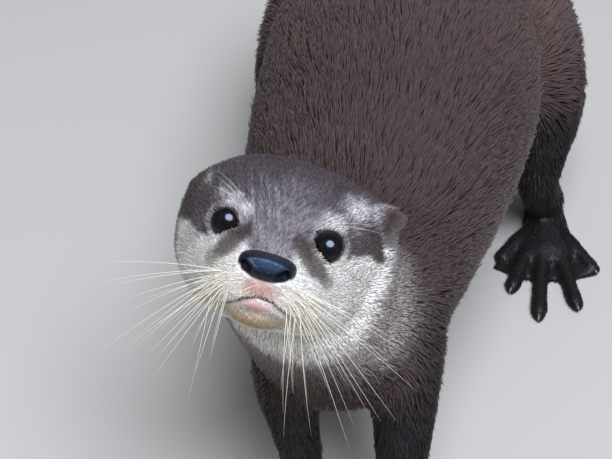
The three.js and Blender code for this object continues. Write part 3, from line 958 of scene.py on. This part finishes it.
def tufts_on(ground, rng):
    """Each tuft's root, middle and tip, its width, its marks and its place on the unwrap."""
    root, normal, flow = ground.at("point"), unit(ground.at("normal")), unit(ground.at("flow"))
    count = len(root)
    across = unit(np.cross(normal, flow))
    swirl = waves(root / MM, 26, 11) * 0.16 + waves(root / MM, 9, 12) * 0.13
    swirl += rng.normal(0, 0.10, count)
    along = unit(flow * np.cos(swirl)[:, None] + across * np.sin(swirl)[:, None])
    across = unit(np.cross(normal, along))
    # Hair beside the lids and over the lip is shortest.
    lip, lid = from_mouth(to_head(root)), past_lids(root)
    length = ground.at("length") * (0.4 + 0.6 * smooth(lip, 1.0, 4.5))
    length = length * (0.45 + 0.55 * smooth(lid, 3, 16))
    length = length * rng.uniform(0.72, 1.18, count) * MM
    rise = ground.at("depth") * rng.uniform(0.75, 1.12, count) * MM
    rise = rise * np.where(rng.random(count) < STRAYS, STRAY_RISE, 1)
    middle = root + along * (length * TUFT_MIDDLE)[:, None] + normal * (rise * 0.7)[:, None]
    tip = root + along * length[:, None] + normal * (rise * 0.95)[:, None]

    # Neighbouring tufts lean together into locks.
    leader_of, pull = gathered(root, ground.at("face") < 0.5, rng)
    shift = tip[leader_of] - tip
    shift -= along * (shift * along).sum(axis=1)[:, None] * 0.7
    tip = tip + shift * pull[:, None]
    middle = middle + shift * (pull * 0.45)[:, None]
    marks = tuft_marks(ground, root, along, lip, rng.random(count)[leader_of], rng)
    return {
        "root": root - normal * 0.35 * MM, "middle": middle, "tip": tip, "normal": normal,
        "across": across, "width": ground.at("width") * rng.uniform(0.75, 1.2, count) * MM,
        "uv": (ground.uv[ground.loops[ground.faces]] * ground.weights[:, :, None]).sum(axis=1),
        "marks": marks,
        "node": ground.values["node"][ground.corners[ground.faces, 0]].astype(int),
    }


# A tuft is a three-sided spindle: two rings, each of three corners at a place across and a
# height, and a tip. PATCH is how wide its own patch of the unwrap is.
TUFT_SWELLING = {"root": 0.8, "middle": 1.0}
TUFT_RING = ((-0.5, 0.0), (0.5, 0.0), (0.0, 0.42))
TUFT_FACES = ((0, 1, 4, 3), (1, 2, 5, 4), (2, 0, 3, 5), (0, 2, 1), (3, 4, 6), (4, 5, 6), (5, 3, 6))
TUFT_ACROSS = np.array([-1, 1, 0, -1, 1, 0, 0], float)
TUFT_ALONG = np.array([0, 0, 0, TUFT_MIDDLE, TUFT_MIDDLE, TUFT_MIDDLE, 1.0])
TUFT_CORNERS = len(TUFT_ALONG)
PATCH = 0.003


def tuft_mesh(name, tufts, chosen):
    """One mesh of closed, tapered, three-sided tufts."""
    count = len(chosen)
    normal, across = tufts["normal"][chosen], tufts["across"][chosen]
    width = tufts["width"][chosen][:, None]
    corners = np.empty((count, TUFT_CORNERS, 3))
    for ring, (key, swelling) in enumerate(TUFT_SWELLING.items()):
        for i, (side, up) in enumerate(TUFT_RING):
            offset = across * (side * width * swelling) + normal * (up * width * swelling)
            corners[:, ring * len(TUFT_RING) + i] = tufts[key][chosen] + offset
    corners[:, -1] = tufts["tip"][chosen]
    corners[:, :, 2] = np.maximum(corners[:, :, 2], LOWEST_HAIR)
    pattern = np.array([corner for face in TUFT_FACES for corner in face])
    sides = [len(face) for face in TUFT_FACES]
    loops = (np.arange(count)[:, None] * TUFT_CORNERS + pattern).ravel()
    starts = np.concatenate([[0], np.cumsum(np.tile(sides, count))[:-1]])
    mesh = bpy.data.meshes.new(name)
    mesh.vertices.add(count * TUFT_CORNERS)
    mesh.vertices.foreach_set("co", corners.astype(np.float32).ravel())
    mesh.loops.add(len(loops))
    mesh.loops.foreach_set("vertex_index", loops.astype(np.int32))
    mesh.polygons.add(len(starts))
    mesh.polygons.foreach_set("loop_start", starts.astype(np.int32))
    mesh.polygons.foreach_set("use_smooth", np.ones(len(starts), bool))
    mesh.update(calc_edges=True)
    for mark, values in tufts["marks"].items():
        store(mesh, mark, np.repeat(values[chosen], TUFT_CORNERS))
    store(mesh, "along", np.tile(TUFT_ALONG, count))
    spread = np.stack([TUFT_ACROSS, TUFT_ALONG * 2 - 1], axis=1) * PATCH / 2
    uv = (tufts["uv"][chosen][:, None, :] + spread).reshape(-1, 2)[loops]
    layer = mesh.uv_layers.new(name="OFBake")
    layer.data.foreach_set("uv", uv.astype(np.float32).ravel())
    return mesh


# Each coat piece: its name, the solids it grows on, and its slot.
COAT_PIECES = (
    ("coat_back", ("trunk",), "brown_coat"),
    ("coat_neck", ("neck",), "brown_coat"),
    ("coat_tail", ("tail",), "brown_coat"),
    ("coat_head", ("head",), "grey_coat"),
    ("coat_chin", ("lower_jaw",), "pale_coat"),
    ("coat_ears", ("ear",), "ear_coat"),
    ("coat_forelegs", ("upper_arm", "forearm", "forefoot"), "dark_coat"),
    ("coat_hindlegs", ("thigh", "shank", "hindfoot"), "brown_coat"),
)
MOST_TUFTS = 19800  # in one piece, so that it stays under 200,000 triangles


class OTTER_OT_coat(bpy.types.Operator):
    """The coat: thin tufts that lie along the body and lean together into locks"""

    bl_idname = "otter.coat"
    bl_label = "Coat"

    def execute(self, context):
        rng = np.random.default_rng(RANDOM_SEED)
        ground = Ground(bpy.data.objects["skin"])
        ground.sow(context.scene.otter_coat.crowding, rng)
        tufts = tufts_on(ground, rng)
        material = coat_material(context)
        kinds = KINDS[tufts["node"]]
        for name, parts, slot in COAT_PIECES:
            members = np.flatnonzero(np.isin(kinds, parts))
            members = members[np.argsort(tufts["root"][members, 1], kind="stable")]
            pieces = max(1, math.ceil(len(members) / MOST_TUFTS))
            for number, chosen in enumerate(np.array_split(members, pieces)):
                title = name if pieces == 1 else f"{name}_{number + 1}"
                dress(new_object(title, tuft_mesh(title, tufts, chosen)), material)
        return {"FINISHED"}


# ---------------------------------------------------------------- eyes, nose, claws, whiskers


def ball(name, centre, radius, segments, rings):
    """A fresh round mesh at a place."""
    bpy.ops.object.select_all(action="DESELECT")
    bpy.ops.mesh.primitive_uv_sphere_add(
        segments=segments, ring_count=rings, radius=radius, location=centre
    )
    made = bpy.context.object
    made.name = made.data.name = name
    bpy.ops.object.transform_apply(location=True, rotation=True, scale=True)
    bpy.ops.object.shade_smooth()
    return made


def tube(rows, sides, closed=False):
    """Vertices and faces of a round tube through rows of (centre, radius)."""
    centres = np.array([row[0] for row in rows])
    radii = np.array([row[1] for row in rows])
    count = len(rows)
    if closed:
        tangent = unit(np.roll(centres, -1, 0) - np.roll(centres, 1, 0))
    else:
        tangent = unit(np.gradient(centres, axis=0))
    normal = np.empty_like(centres)
    normal[0] = unit(np.cross(tangent[0], (0.31, 0.2, 0.93)))
    for i in range(1, count):
        normal[i] = unit(normal[i - 1] - tangent[i] * (normal[i - 1] @ tangent[i]))
    binormal = np.cross(tangent, normal)
    turns = np.arange(sides) * 2 * math.pi / sides
    ring = centres[:, None] + radii[:, None, None] * (
        np.cos(turns)[:, None] * normal[:, None] + np.sin(turns)[:, None] * binormal[:, None]
    )
    faces = []
    for i in range(count if closed else count - 1):
        j = (i + 1) % count
        for k in range(sides):
            m = (k + 1) % sides
            faces.append((i * sides + k, i * sides + m, j * sides + m, j * sides + k))
    if not closed:
        faces.append(tuple(reversed(range(sides))))
        faces.append(tuple((count - 1) * sides + k for k in range(sides)))
    return ring.reshape(-1, 3).tolist(), faces


def joined(name, shapes):
    """One object from several lists of corners and faces."""
    corners, faces = [], []
    for spots, sides in shapes:
        base = len(corners)
        corners.extend(spots)
        faces.extend(tuple(base + i for i in face) for face in sides)
    mesh = bpy.data.meshes.new(name)
    mesh.from_pydata(corners, [], faces)
    mesh.update()
    made = new_object(name, mesh)
    face_outwards(made)
    bpy.ops.object.shade_smooth()
    return made


EYE_LOOK = (0.05, 0.98, 0.16)  # where both pupils point, in the head's frame


class OTTER_OT_eyes(bpy.types.Operator):
    """Two dark glossy eyes and the bare rims of their lids"""

    bl_idname = "otter.eyes"
    bl_label = "Eyes"

    def execute(self, context):
        wet, bare = eye_material(), rim_material()
        for side in SIDES:
            eye = ball(f"eyeball_{side}", EYE_AT[side], EYE_RADIUS, 64, 48)
            spots = mesh_coords(eye.data)
            out = unit(spots - EYE_AT[side])
            angle = np.degrees(np.arccos(np.clip(out @ head_direction(*EYE_LOOK), -1, 1)))
            # The cornea is a little flatter than the ball.
            flat = -0.5 * MM * (1 - smooth(angle, 0, 60))
            move_vertices(eye.data, spots + out * flat[:, None])
            store(eye.data, "iris", 1 - smooth(angle, 33, 37))
            store(eye.data, "pupil", 1 - smooth(angle, 20, 23))
            dress(eye, wet)
            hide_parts(f"eye_{side}")
            dress(self.rim(side), bare)
        return {"FINISHED"}

    def rim(self, side):
        """The bare edge of the lids, drawn out to a point at each corner."""
        out, up = eye_axes(side)
        out = out * np.sign(out @ head_direction(SIGN[side], 0, 0))
        rows = []
        for turn in np.linspace(0, 2 * math.pi, 56, endpoint=False):
            across, high = math.cos(turn), math.sin(turn)
            angle = (LID_OPEN[side] + 1.5) / (1 - LID_TALL * high**2)
            angle += 5 * max(0, -across) ** 10 + 4 * max(0, across) ** 10
            lean = math.radians(angle)
            way = GAZE[side] * math.cos(lean) + (out * across + up * high) * math.sin(lean)
            spot = EYE_AT[side] + way * (EYE_RADIUS + 0.15 * MM)
            rows.append((spot, (0.34 + 0.12 * abs(across)) * MM))
        return joined(f"eyelid_{side}", [tube(rows, 10, closed=True)])


# The nose pad's middle and half sizes, and the left nostril's comma as its pit and its tail.
NOSE_MIDDLE, NOSE_HALF = (0.4, 25.4, -7.7), (11.8, 6.6, 5.5)
NOSTRIL_PIT = ((6.0, 0, -9.2), (8.4, 0, -7.2))
NOSTRIL_TAIL = ((8.4, 0, -7.2), (10.4, 0, -9.2))


class OTTER_OT_nose(bpy.types.Operator):
    """The nose pad with its comma-shaped nostrils"""

    bl_idname = "otter.nose"
    bl_label = "Nose"

    def execute(self, context):
        nose = ball("nose_pad", (0, 0, 0), 1.0, 96, 64)
        shape = self.outline(mesh_coords(nose.data))
        spots = np.array(NOSE_MIDDLE) + shape * NOSE_HALF
        both = mirrored(spots) * [1, 0, 1]
        front = smooth(spots[:, 1], 24, 27)
        pit, tail = from_segment(both, *NOSTRIL_PIT), from_segment(both, *NOSTRIL_TAIL)
        # The hole mark also paints the nostrils near black: painted shade inside them.
        hole = np.exp(-((pit / 1.4) ** 2)) + 0.75 * np.exp(-((tail / 0.8) ** 2))
        hole = np.clip(hole, 0, 1) * front
        groove = np.exp(-((both[:, 0] / 0.6) ** 2))
        groove = groove * (1 - smooth(spots[:, 2], -11, -7.5)) * front
        rim = np.exp(-(((pit - 2.3) / 0.8) ** 2)) * front
        spots[:, 1] += -2.4 * hole - 0.8 * groove + 0.5 * rim * (1 - np.clip(hole, 0, 1))
        spots[:, 2] += 0.8 * hole
        pebble = waves(spots, 1.1, 21) * 0.05 * (1 - hole)
        spots += unit(shape) * pebble[:, None]
        move_vertices(nose.data, from_head(spots))
        store(nose.data, "hole", hole)
        # A blue-grey patch on the pad's upper front: a painted reflection of the sky.
        store(nose.data, "painted_sky_sheen", front * blob(spots * [1, 0, 1], (1.0, 0, -4.9), (6.2, 1, 2.5)))
        face_outwards(nose)
        dress(nose, nose_material())
        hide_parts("nose")
        return {"FINISHED"}

    def outline(self, ball):
        """A round ball drawn into the pad's shape: broad above, narrow and cut back below."""
        # The ball's poles point ahead and back, so that its rings run round the pad.
        x, ahead, z = ball[:, 0], ball[:, 2], ball[:, 1]
        shape = np.stack([x, ahead, z], axis=1)
        shape[:, 0] = np.sign(x) * np.abs(x) ** 0.86
        low = np.clip(-z, 0, 1)
        shape[:, 0] *= 1 - 0.30 * low**1.3
        shape[:, 2] = np.where(z > 0, np.abs(z) ** 0.75, z)
        shape[:, 2] -= 0.10 * (1 - np.abs(x)) * low
        shape[:, 2] += 0.10 * np.abs(x) ** 2 * (shape[:, 2] > 0)
        # Its front is flat, and flatter above, where it leans back to the bridge.
        power = 2 + 2 * smooth(z, -0.2, 0.3)
        shape[:, 1] = np.sign(ahead) * np.sqrt(1 - np.clip(1 - ahead**2, 0, 1) ** power)
        shape[:, 1] -= 0.10 * np.clip(z + 0.15, 0, 1) * (ahead > -0.2)
        shape[:, 1] -= 0.34 * smooth(-z, 0.1, 1.0) * (ahead > -0.2)
        return shape


# A claw's length and the height of its middle, in millimetres.
CLAWS = {"forefoot": (3.4, 2.9), "hindfoot": (4.2, 3.6)}


class OTTER_OT_claws(bpy.types.Operator):
    """A short blunt claw on the top of each toe's tip"""

    bl_idname = "otter.claws"
    bl_label = "Claws"

    def execute(self, context):
        horn = claw_material()
        for name, (x, y, heading) in ANKLES.items():
            part, side = name.rsplit("_", 1)
            long, high = CLAWS[part]
            shapes = []
            for reach, turn in TOES[part]:
                angle = math.radians(heading + SIGN[side] * turn)
                way = np.array([math.sin(angle), -math.cos(angle), 0])
                tip = np.array([x, y, 0]) * MM + way * (reach - 1.6) * MM
                tip[2] = high * MM
                rows = []
                for share in np.linspace(0, 1, 7):
                    drop = np.array([0, 0, -1.1 * MM * share**2])
                    spot = tip + way * (long * MM * (share - 0.35)) + drop
                    rows.append((spot, (1.15 - 0.95 * share**1.4) * MM))
                shapes.append(tube(rows, 8))
            dress(joined(f"claws_{name}", shapes), horn)
        return {"FINISHED"}


# Whiskers stand in rows and columns on each pad, and the numbers of a whisker's row and column
# come to PAD_LAST at most. FIRST_FALL is how steeply the first row falls, in degrees. The hairs
# over an eye are BROW_SIZE times as large.
PAD_ROWS, PAD_COLUMNS, PAD_LAST = 5, 6, 7
FIRST_FALL = {"left": 24, "right": 34}
BROW_HAIRS, BROW_SIZE = 3, 0.6


class OTTER_OT_whiskers(bpy.types.Operator):
    """Cream whiskers that fan out and down from the pads beside the nose"""

    bl_idname = "otter.whiskers"
    bl_label = "Whiskers"

    def execute(self, context):
        sizes = context.scene.otter_coat
        rng = np.random.default_rng(RANDOM_SEED + 1)
        skin = BVHTree.FromObject(bpy.data.objects["skin"], context.evaluated_depsgraph_get())
        cream = whisker_material(context)
        for side in SIDES:
            shapes = []
            for row in range(PAD_ROWS):
                for column in range(min(PAD_COLUMNS, PAD_LAST - row + 1)):
                    x = SIGN[side] * (9.5 + 1.9 * column + 0.8 * row)
                    spot = (x, 34 - column, -11.5 - 2.9 * row - 0.5 * column)
                    fall = FIRST_FALL[side] + 60 * (row / (PAD_ROWS - 1)) - 4 * column
                    fall += rng.normal(0, 8)
                    shapes.append(self.whisker(skin, side, spot, fall, column, 1, sizes, rng))
            # A few finer hairs over each eye.
            for number in range(BROW_HAIRS):
                spot = (SIGN[side] * (17 + 2.6 * number), 34, 10.5 - 0.4 * number)
                fall = -46 + 16 * number + rng.normal(0, 5)
                shapes.append(self.whisker(skin, side, spot, fall, 0, BROW_SIZE, sizes, rng))
            dress(joined(f"whiskers_{side}", [s for s in shapes if s]), cream)
        return {"FINISHED"}

    def whisker(self, skin, side, spot, fall, column, size, sizes, rng):
        """One bristle from a spot ahead of the skin, or nothing where the skin isn't met."""
        start, inward = Vector(from_head(spot)[0]), Vector(head_direction(0, -1, 0))
        root = skin.ray_cast(start, inward, 0.05)[0]
        if root is None:
            return None
        fan = math.radians(fall)
        ahead = rng.uniform(0.10, 0.42) - 0.04 * column
        way = head_direction(SIGN[side] * math.cos(fan), ahead, -math.sin(fan))
        back = head_direction(SIGN[side] * 0.2, -1, -0.25)
        long = sizes.whisker_length * size * rng.uniform(0.5, 1.0) * (0.62 + 0.075 * column)
        bend = rng.uniform(0.18, 0.42)
        rows = []
        for share in np.linspace(0, 1, 13):
            centre = np.array(root) + way * (long * (share - 0.02))
            centre = centre + back * (long * bend * share**2)
            centre = centre + np.array([0, 0, -0.16 * long * share**2])
            rows.append((centre, sizes.whisker_width * size / 2 * (1 - 0.85 * share**1.3)))
        return tube(rows, 5)


# ---------------------------------------------------------------- materials


class Tree:
    """A material's node tree with one way to add a node."""

    def __init__(self, name):
        self.material = bpy.data.materials.new(name)
        self.material.use_nodes = True
        self.nodes, self.links = self.material.node_tree.nodes, self.material.node_tree.links
        self.nodes.clear()

    def add(self, kind, sockets=None, **settings):
        """A node of a kind, its sockets by name or number, and its other settings."""
        node = self.nodes.new("ShaderNode" + kind)
        for key, value in settings.items():
            setattr(node, key, value)
        for socket, value in (sockets or {}).items():
            target = node.inputs[socket]
            if isinstance(value, bpy.types.NodeSocket):
                self.links.new(value, target)
            else:
                target.default_value = value
        return node

    def finish(self, shader):
        """Gives the finished material its surface."""
        self.add("OutputMaterial", {"Surface": shader.outputs["BSDF"]})
        return self.material


# The markings in the order in which they lie over one another, and their colours' settings.
LAYERS = (
    ("warm_lit_rump", "warm_lit_rump"), ("face", "crown"), ("dark_leg_and_shade", "dark_leg_and_shade"), ("ear_fur", "ear"),
    ("throat", "throat"), ("silver", "silver"), ("pale", "white"), ("buff", "buff"),
    # The stripe colour on the dark mark also paints shade into the ears.
    ("pink", "pink"), ("dark", "stripe"), ("lid", "bare"),
)


def layered(tree, colour, layers):
    """Colours laid over a first one, each as far as its mark says."""
    for mark, over in layers:
        share = tree.add("Attribute", attribute_name=mark).outputs["Fac"]
        colour = tree.add("Mix", {0: share, 6: colour, 7: over}, data_type="RGBA").outputs[2]
    return colour


def marked_colour(tree, colours):
    """The markings that skin and coat share."""
    layers = [(mark, tuple(getattr(colours, setting))) for mark, setting in LAYERS]
    return layered(tree, tuple(colours.brown), layers)


def times(tree, colour, factor):
    """A colour made lighter or darker by a factor."""
    grey = tree.add("CombineColor", {0: factor, 1: factor, 2: factor}).outputs[0]
    product = tree.add(
        "Mix", {0: 1.0, 6: colour, 7: grey}, data_type="RGBA", blend_type="MULTIPLY"
    )
    return product.outputs[2]


def coat_material(context):
    """Otter guard hair: each tuft a shade of its own, darker towards the root as painted shade deep
    in the coat, with a faint sheen.
    """
    tree = Tree("otter guard hair")
    colour = marked_colour(tree, context.scene.otter_colours)
    shade, pale, along = (
        tree.add("Attribute", attribute_name=name).outputs["Fac"]
        for name in ("shade", "pale", "along")
    )
    own = tree.add("MapRange", {"Value": shade, "To Min": 0.55, "To Max": 1.4})
    # Towards its root each tuft is darkened: painted shade deep in the coat, less on pale hair.
    root = tree.add("MapRange", {"Value": pale, "To Min": 0.76, "To Max": 0.94})
    length = tree.add("MapRange", {
        "Value": along, "From Max": 0.8, "To Min": root.outputs[0], "To Max": 1.06,
    })
    light = tree.add("Math", {0: own.outputs[0], 1: length.outputs[0]}, operation="MULTIPLY")
    return tree.finish(tree.add("BsdfPrincipled", {
        "Base Color": times(tree, colour, light.outputs[0]), "Roughness": 0.55,
        "Specular IOR Level": 0.3, "Sheen Weight": 0.12, "Sheen Roughness": 0.4,
        "Sheen Tint": linear("#e4d4da"),
    }))


# Grains of the skin and pebbles of the nose leather for each millimetre. Real ones are finer,
# and these are as coarse as it takes to show.
SKIN_GRAINS, NOSE_PEBBLES = 0.7, 0.9


def hide_material(context):
    """Skin under the coat, and the bare skin of lips and feet: fine-grained, with the grain also
    darkening it as painted shade for skin seen between tufts, and a little damp.
    """
    tree = Tree("otter skin")
    colour = marked_colour(tree, context.scene.otter_colours)
    place = tree.add("TexCoord").outputs["Object"]
    grain = tree.add(
        "TexNoise", {"Vector": place, "Scale": SKIN_GRAINS / MM, "Detail": 3.0}
    ).outputs[0]
    # The grain darkens the skin by up to 28 per cent: partly its own grain, partly painted shade
    # for skin seen between the tufts.
    light = tree.add("MapRange", {"Value": grain, "To Min": 0.72, "To Max": 1.0})
    bump = tree.add("Bump", {"Height": grain, "Strength": 0.35, "Distance": 0.6 * MM})
    return tree.finish(tree.add("BsdfPrincipled", {
        "Base Color": times(tree, colour, light.outputs[0]), "Roughness": 0.5,
        "Normal": bump.outputs[0], "Specular IOR Level": 0.35,
    }))


def eye_material():
    """A wet dark eye: black pupil in a very dark brown iris under a clear film."""
    tree = Tree("wet dark eye")
    layers = (("iris", linear("#150b08")), ("pupil", linear("#030304")))
    colour = layered(tree, linear("#060405"), layers)
    return tree.finish(tree.add("BsdfPrincipled", {
        "Base Color": colour, "Roughness": 0.13, "IOR": 1.5, "Specular Tint": linear("#d8e6ff"),
    }))


def rim_material():
    """Bare lid skin: nearly black, smooth and damp."""
    tree = Tree("bare lid skin")
    return tree.finish(tree.add("BsdfPrincipled", {
        "Base Color": linear("#110c0b"), "Roughness": 0.6,
    }))


def nose_material():
    """Nose leather: black with a painted blue-grey sky reflection on its upper front, finely
    pebbled and damp.
    """
    tree = Tree("nose leather")
    # The blue-grey patch on the upper front is a painted sky reflection.
    layers = (("painted_sky_sheen", linear("#2a374a")), ("hole", linear("#010101")))
    # Over the leather's black, the holes' near black is painted shade in the nostrils.
    colour = layered(tree, linear("#080708"), layers)
    place = tree.add("TexCoord").outputs["Object"]
    cells = tree.add("TexVoronoi", {"Vector": place, "Scale": NOSE_PEBBLES / MM})
    bump = tree.add("Bump", {
        "Height": cells.outputs["Distance"], "Strength": 0.15, "Distance": 0.3 * MM,
    })
    hole = tree.add("Attribute", attribute_name="hole").outputs["Fac"]
    rough = tree.add("MapRange", {"Value": hole, "To Min": 0.4, "To Max": 1.0})
    return tree.finish(tree.add("BsdfPrincipled", {
        "Base Color": colour, "Roughness": rough.outputs[0], "Normal": bump.outputs[0],
        "IOR": 1.42, "Specular Tint": linear("#bcd2ff"),
    }))


def claw_material():
    """Claw horn: brownish grey and smooth."""
    tree = Tree("claw horn")
    return tree.finish(tree.add("BsdfPrincipled", {
        "Base Color": linear("#6b5a4e"), "Roughness": 0.35, "IOR": 1.54,
    }))


def whisker_material(context):
    """Whisker: a stiff cream bristle with a soft shine."""
    tree = Tree("cream whisker")
    return tree.finish(tree.add("BsdfPrincipled", {
        "Base Color": tuple(context.scene.otter_colours.whisker), "Roughness": 0.4, "IOR": 1.55,
    }))


# ---------------------------------------------------------------- stage


SENSOR_WIDTH = 36.0  # of the camera, in millimetres

# One broad soft lamp over the viewer, and the room's own faint light.
KEY_PLACE, KEY_AIM = (0.5, -1.05, 2.3), (0, -0.12, 0.1)
KEY_SIZE, KEY_POWER, KEY_COLOUR = 1.6, 104, "#e6eeff"
ROOM_LIGHT, ROOM_COLOUR = 0.34, "#dfe5ee"


class OTTER_OT_stage(bpy.types.Operator):
    """A plain pale floor, soft studio light and the camera"""

    bl_idname = "otter.stage"
    bl_label = "Stage"

    def execute(self, context):
        bpy.ops.object.select_all(action="DESELECT")
        bpy.ops.mesh.primitive_plane_add(size=8, location=(0, 0, 0))
        floor = context.object
        floor.name = "floor"
        tree = Tree("matt pale floor")
        shader = tree.add("BsdfPrincipled", {"Base Color": linear("#b7b2a9"), "Roughness": 0.9})
        floor.data.materials.append(tree.finish(shader))
        self.camera(context)
        self.light(context)
        return {"FINISHED"}

    def camera(self, context):
        """Aimed so that the middle between the eyes falls where the settings put it."""
        stage = context.scene.otter_stage
        azimuth, elevation = stage.azimuth, stage.elevation
        look = np.array([
            -math.sin(azimuth) * math.cos(elevation),
            math.cos(azimuth) * math.cos(elevation),
            -math.sin(elevation),
        ])
        right = np.array([math.cos(azimuth), math.sin(azimuth), 0])
        up = np.cross(right, look)
        data = bpy.data.cameras.new("camera")
        data.sensor_width, data.lens = SENSOR_WIDTH, stage.lens
        data.clip_start, data.clip_end = 0.01, 50
        slope = SENSOR_WIDTH / stage.lens / 2
        aside, above = stage.eyes_aside * slope, stage.eyes_above * slope
        camera = new_object("camera", data)
        camera.location = EYE_MIDDLE - stage.distance * (look + aside * right + above * up)
        camera.rotation_euler = Vector(look).to_track_quat("-Z", "Y").to_euler()
        context.scene.camera = camera

    def light(self, context):
        """The lamp and the room."""
        world = bpy.data.worlds.new("soft room")
        world.use_nodes = True
        back = world.node_tree.nodes["Background"]
        back.inputs["Color"].default_value = linear(ROOM_COLOUR)
        back.inputs["Strength"].default_value = ROOM_LIGHT
        context.scene.world = world
        context.scene.view_settings.view_transform = "Standard"
        data = bpy.data.lights.new("key", "AREA")
        data.shape, data.size, data.energy = "DISK", KEY_SIZE, KEY_POWER
        data.color = linear(KEY_COLOUR)[:3]
        lamp = new_object("key", data)
        lamp.location = KEY_PLACE
        aim = Vector(KEY_AIM) - Vector(KEY_PLACE)
        lamp.rotation_euler = aim.to_track_quat("-Z", "Y").to_euler()


# ---------------------------------------------------------------- settings and panel


def length_setting(name, description, default):
    """A setting in metres."""
    return FloatProperty(name=name, description=description, default=default, unit="LENGTH",
                         precision=5, min=0)


def colour_setting(name, description, hex_colour):
    """A setting for a colour, given as sRGB hex."""
    return FloatVectorProperty(name=name, description=description, subtype="COLOR", size=4,
                               min=0, max=1, default=linear(hex_colour))


class OtterCoatSettings(bpy.types.PropertyGroup):
    """Sizes of the skin, the coat and the whiskers"""

    skin_grain: length_setting("Skin grain", "Size of the skin's smallest faces", 0.0013)
    body_share: FloatProperty(
        name="Body faces", description="Share of its faces that the body keeps",
        default=0.34, min=0.1, max=1, subtype="FACTOR",
    )
    depth_scale: FloatProperty(
        name="Coat depth", description="Scales how far the coat stands on the skin",
        default=1.0, min=0, max=2,
    )
    crowding: FloatProperty(
        name="Crowding", description="Scales how many tufts grow", default=1.0, min=0.05, max=1.5,
    )
    whisker_length: length_setting("Whisker length", "Length of the longest whiskers", 0.060)
    whisker_width: length_setting("Whisker width", "Thickness of a whisker at its root", 0.00028)


class OtterColours(bpy.types.PropertyGroup):
    """Colours of the markings"""

    brown: colour_setting("Back", "Brown of the back and flanks", "#45302a")
    # The rump colour is partly the coat's own warmer brown and partly painted light on the rump's
    # top.
    warm_lit_rump: colour_setting("Rump", "Warmer brown of the rump", "#634a3f")
    crown: colour_setting("Crown", "Grey-brown of the top of the head", "#4f4447")
    silver: colour_setting("Silver tips", "Silvery hair over the eyes and on the crown", "#e0d8da")
    white: colour_setting("Cheeks", "White of cheeks and muzzle", "#f6f2e9")
    buff: colour_setting("Chin", "Yellowish buff of the chin", "#bba074")
    pink: colour_setting("Lips", "Pink of the lips", "#c48c82")
    throat: colour_setting("Throat", "Greyish white of the throat", "#b9b0a8")
    # The stripe colour also paints shade into the left ear's hollow and over the right ear.
    stripe: colour_setting("Stripes", "Dark brown of the face's stripes", "#4f3b34")
    # The leg colour is partly the legs' own dark brown and partly painted shade under the body.
    dark_leg_and_shade: colour_setting("Legs", "Very dark brown of legs and feet", "#130d0c")
    ear: colour_setting("Ears", "Brown of the ears", "#645b5a")
    bare: colour_setting("Bare skin", "Nearly black bare skin of lids and lips", "#17100f")
    whisker: colour_setting("Whiskers", "Cream of the whiskers", "#f3ead2")


class OtterStageSettings(bpy.types.PropertyGroup):
    """Where the camera stands"""

    azimuth: FloatProperty(
        name="Azimuth", description="Camera's turn round the otter",
        default=math.radians(9), subtype="ANGLE",
    )
    elevation: FloatProperty(
        name="Elevation", description="Camera's angle above the floor",
        default=math.radians(43), subtype="ANGLE",
    )
    distance: length_setting("Distance", "From the camera to the eyes", 0.65)
    lens: FloatProperty(
        name="Lens", description="Focal length in millimetres", default=93.294, min=10,
    )
    eyes_aside: FloatProperty(
        name="Eyes aside", description="Place of the eyes across the frame, in half widths",
        default=-27 / 306,
    )
    eyes_above: FloatProperty(
        name="Eyes above", description="Place of the eyes above the frame's middle, in half widths",
        default=-5.5 / 306,
    )


OPERATORS = (OTTER_OT_stage, OTTER_OT_skin, OTTER_OT_eyes, OTTER_OT_nose, OTTER_OT_claws,
             OTTER_OT_whiskers, OTTER_OT_coat)


class OTTER_PT_panel(bpy.types.Panel):
    """The steps that dress the otter, in order"""

    bl_label = "Otter"
    bl_idname = "OTTER_PT_panel"
    bl_space_type = "VIEW_3D"
    bl_region_type = "UI"
    bl_category = "Otter"

    def draw(self, context):
        for operator in OPERATORS:
            self.layout.operator(operator.bl_idname)
        for group in ("otter_coat", "otter_colours", "otter_stage"):
            settings = getattr(context.scene, group)
            box = self.layout.box()
            for name in settings.__annotations__:
                box.prop(settings, name)


GROUPS = {"otter_coat": OtterCoatSettings, "otter_colours": OtterColours,
          "otter_stage": OtterStageSettings}


def register():
    for group in GROUPS.values():
        bpy.utils.register_class(group)
    for operator in OPERATORS + (OTTER_PT_panel,):
        bpy.utils.register_class(operator)
    for name, group in GROUPS.items():
        setattr(bpy.types.Scene, name, PointerProperty(type=group))


def unregister():
    for name in GROUPS:
        delattr(bpy.types.Scene, name)
    for known in (OTTER_PT_panel,) + OPERATORS[::-1] + tuple(GROUPS.values()):
        bpy.utils.unregister_class(known)


def main():
    register()
    for operator in OPERATORS:
        getattr(bpy.ops.otter, operator.bl_idname.split(".")[1])()


if __name__ == "__main__":
    main()
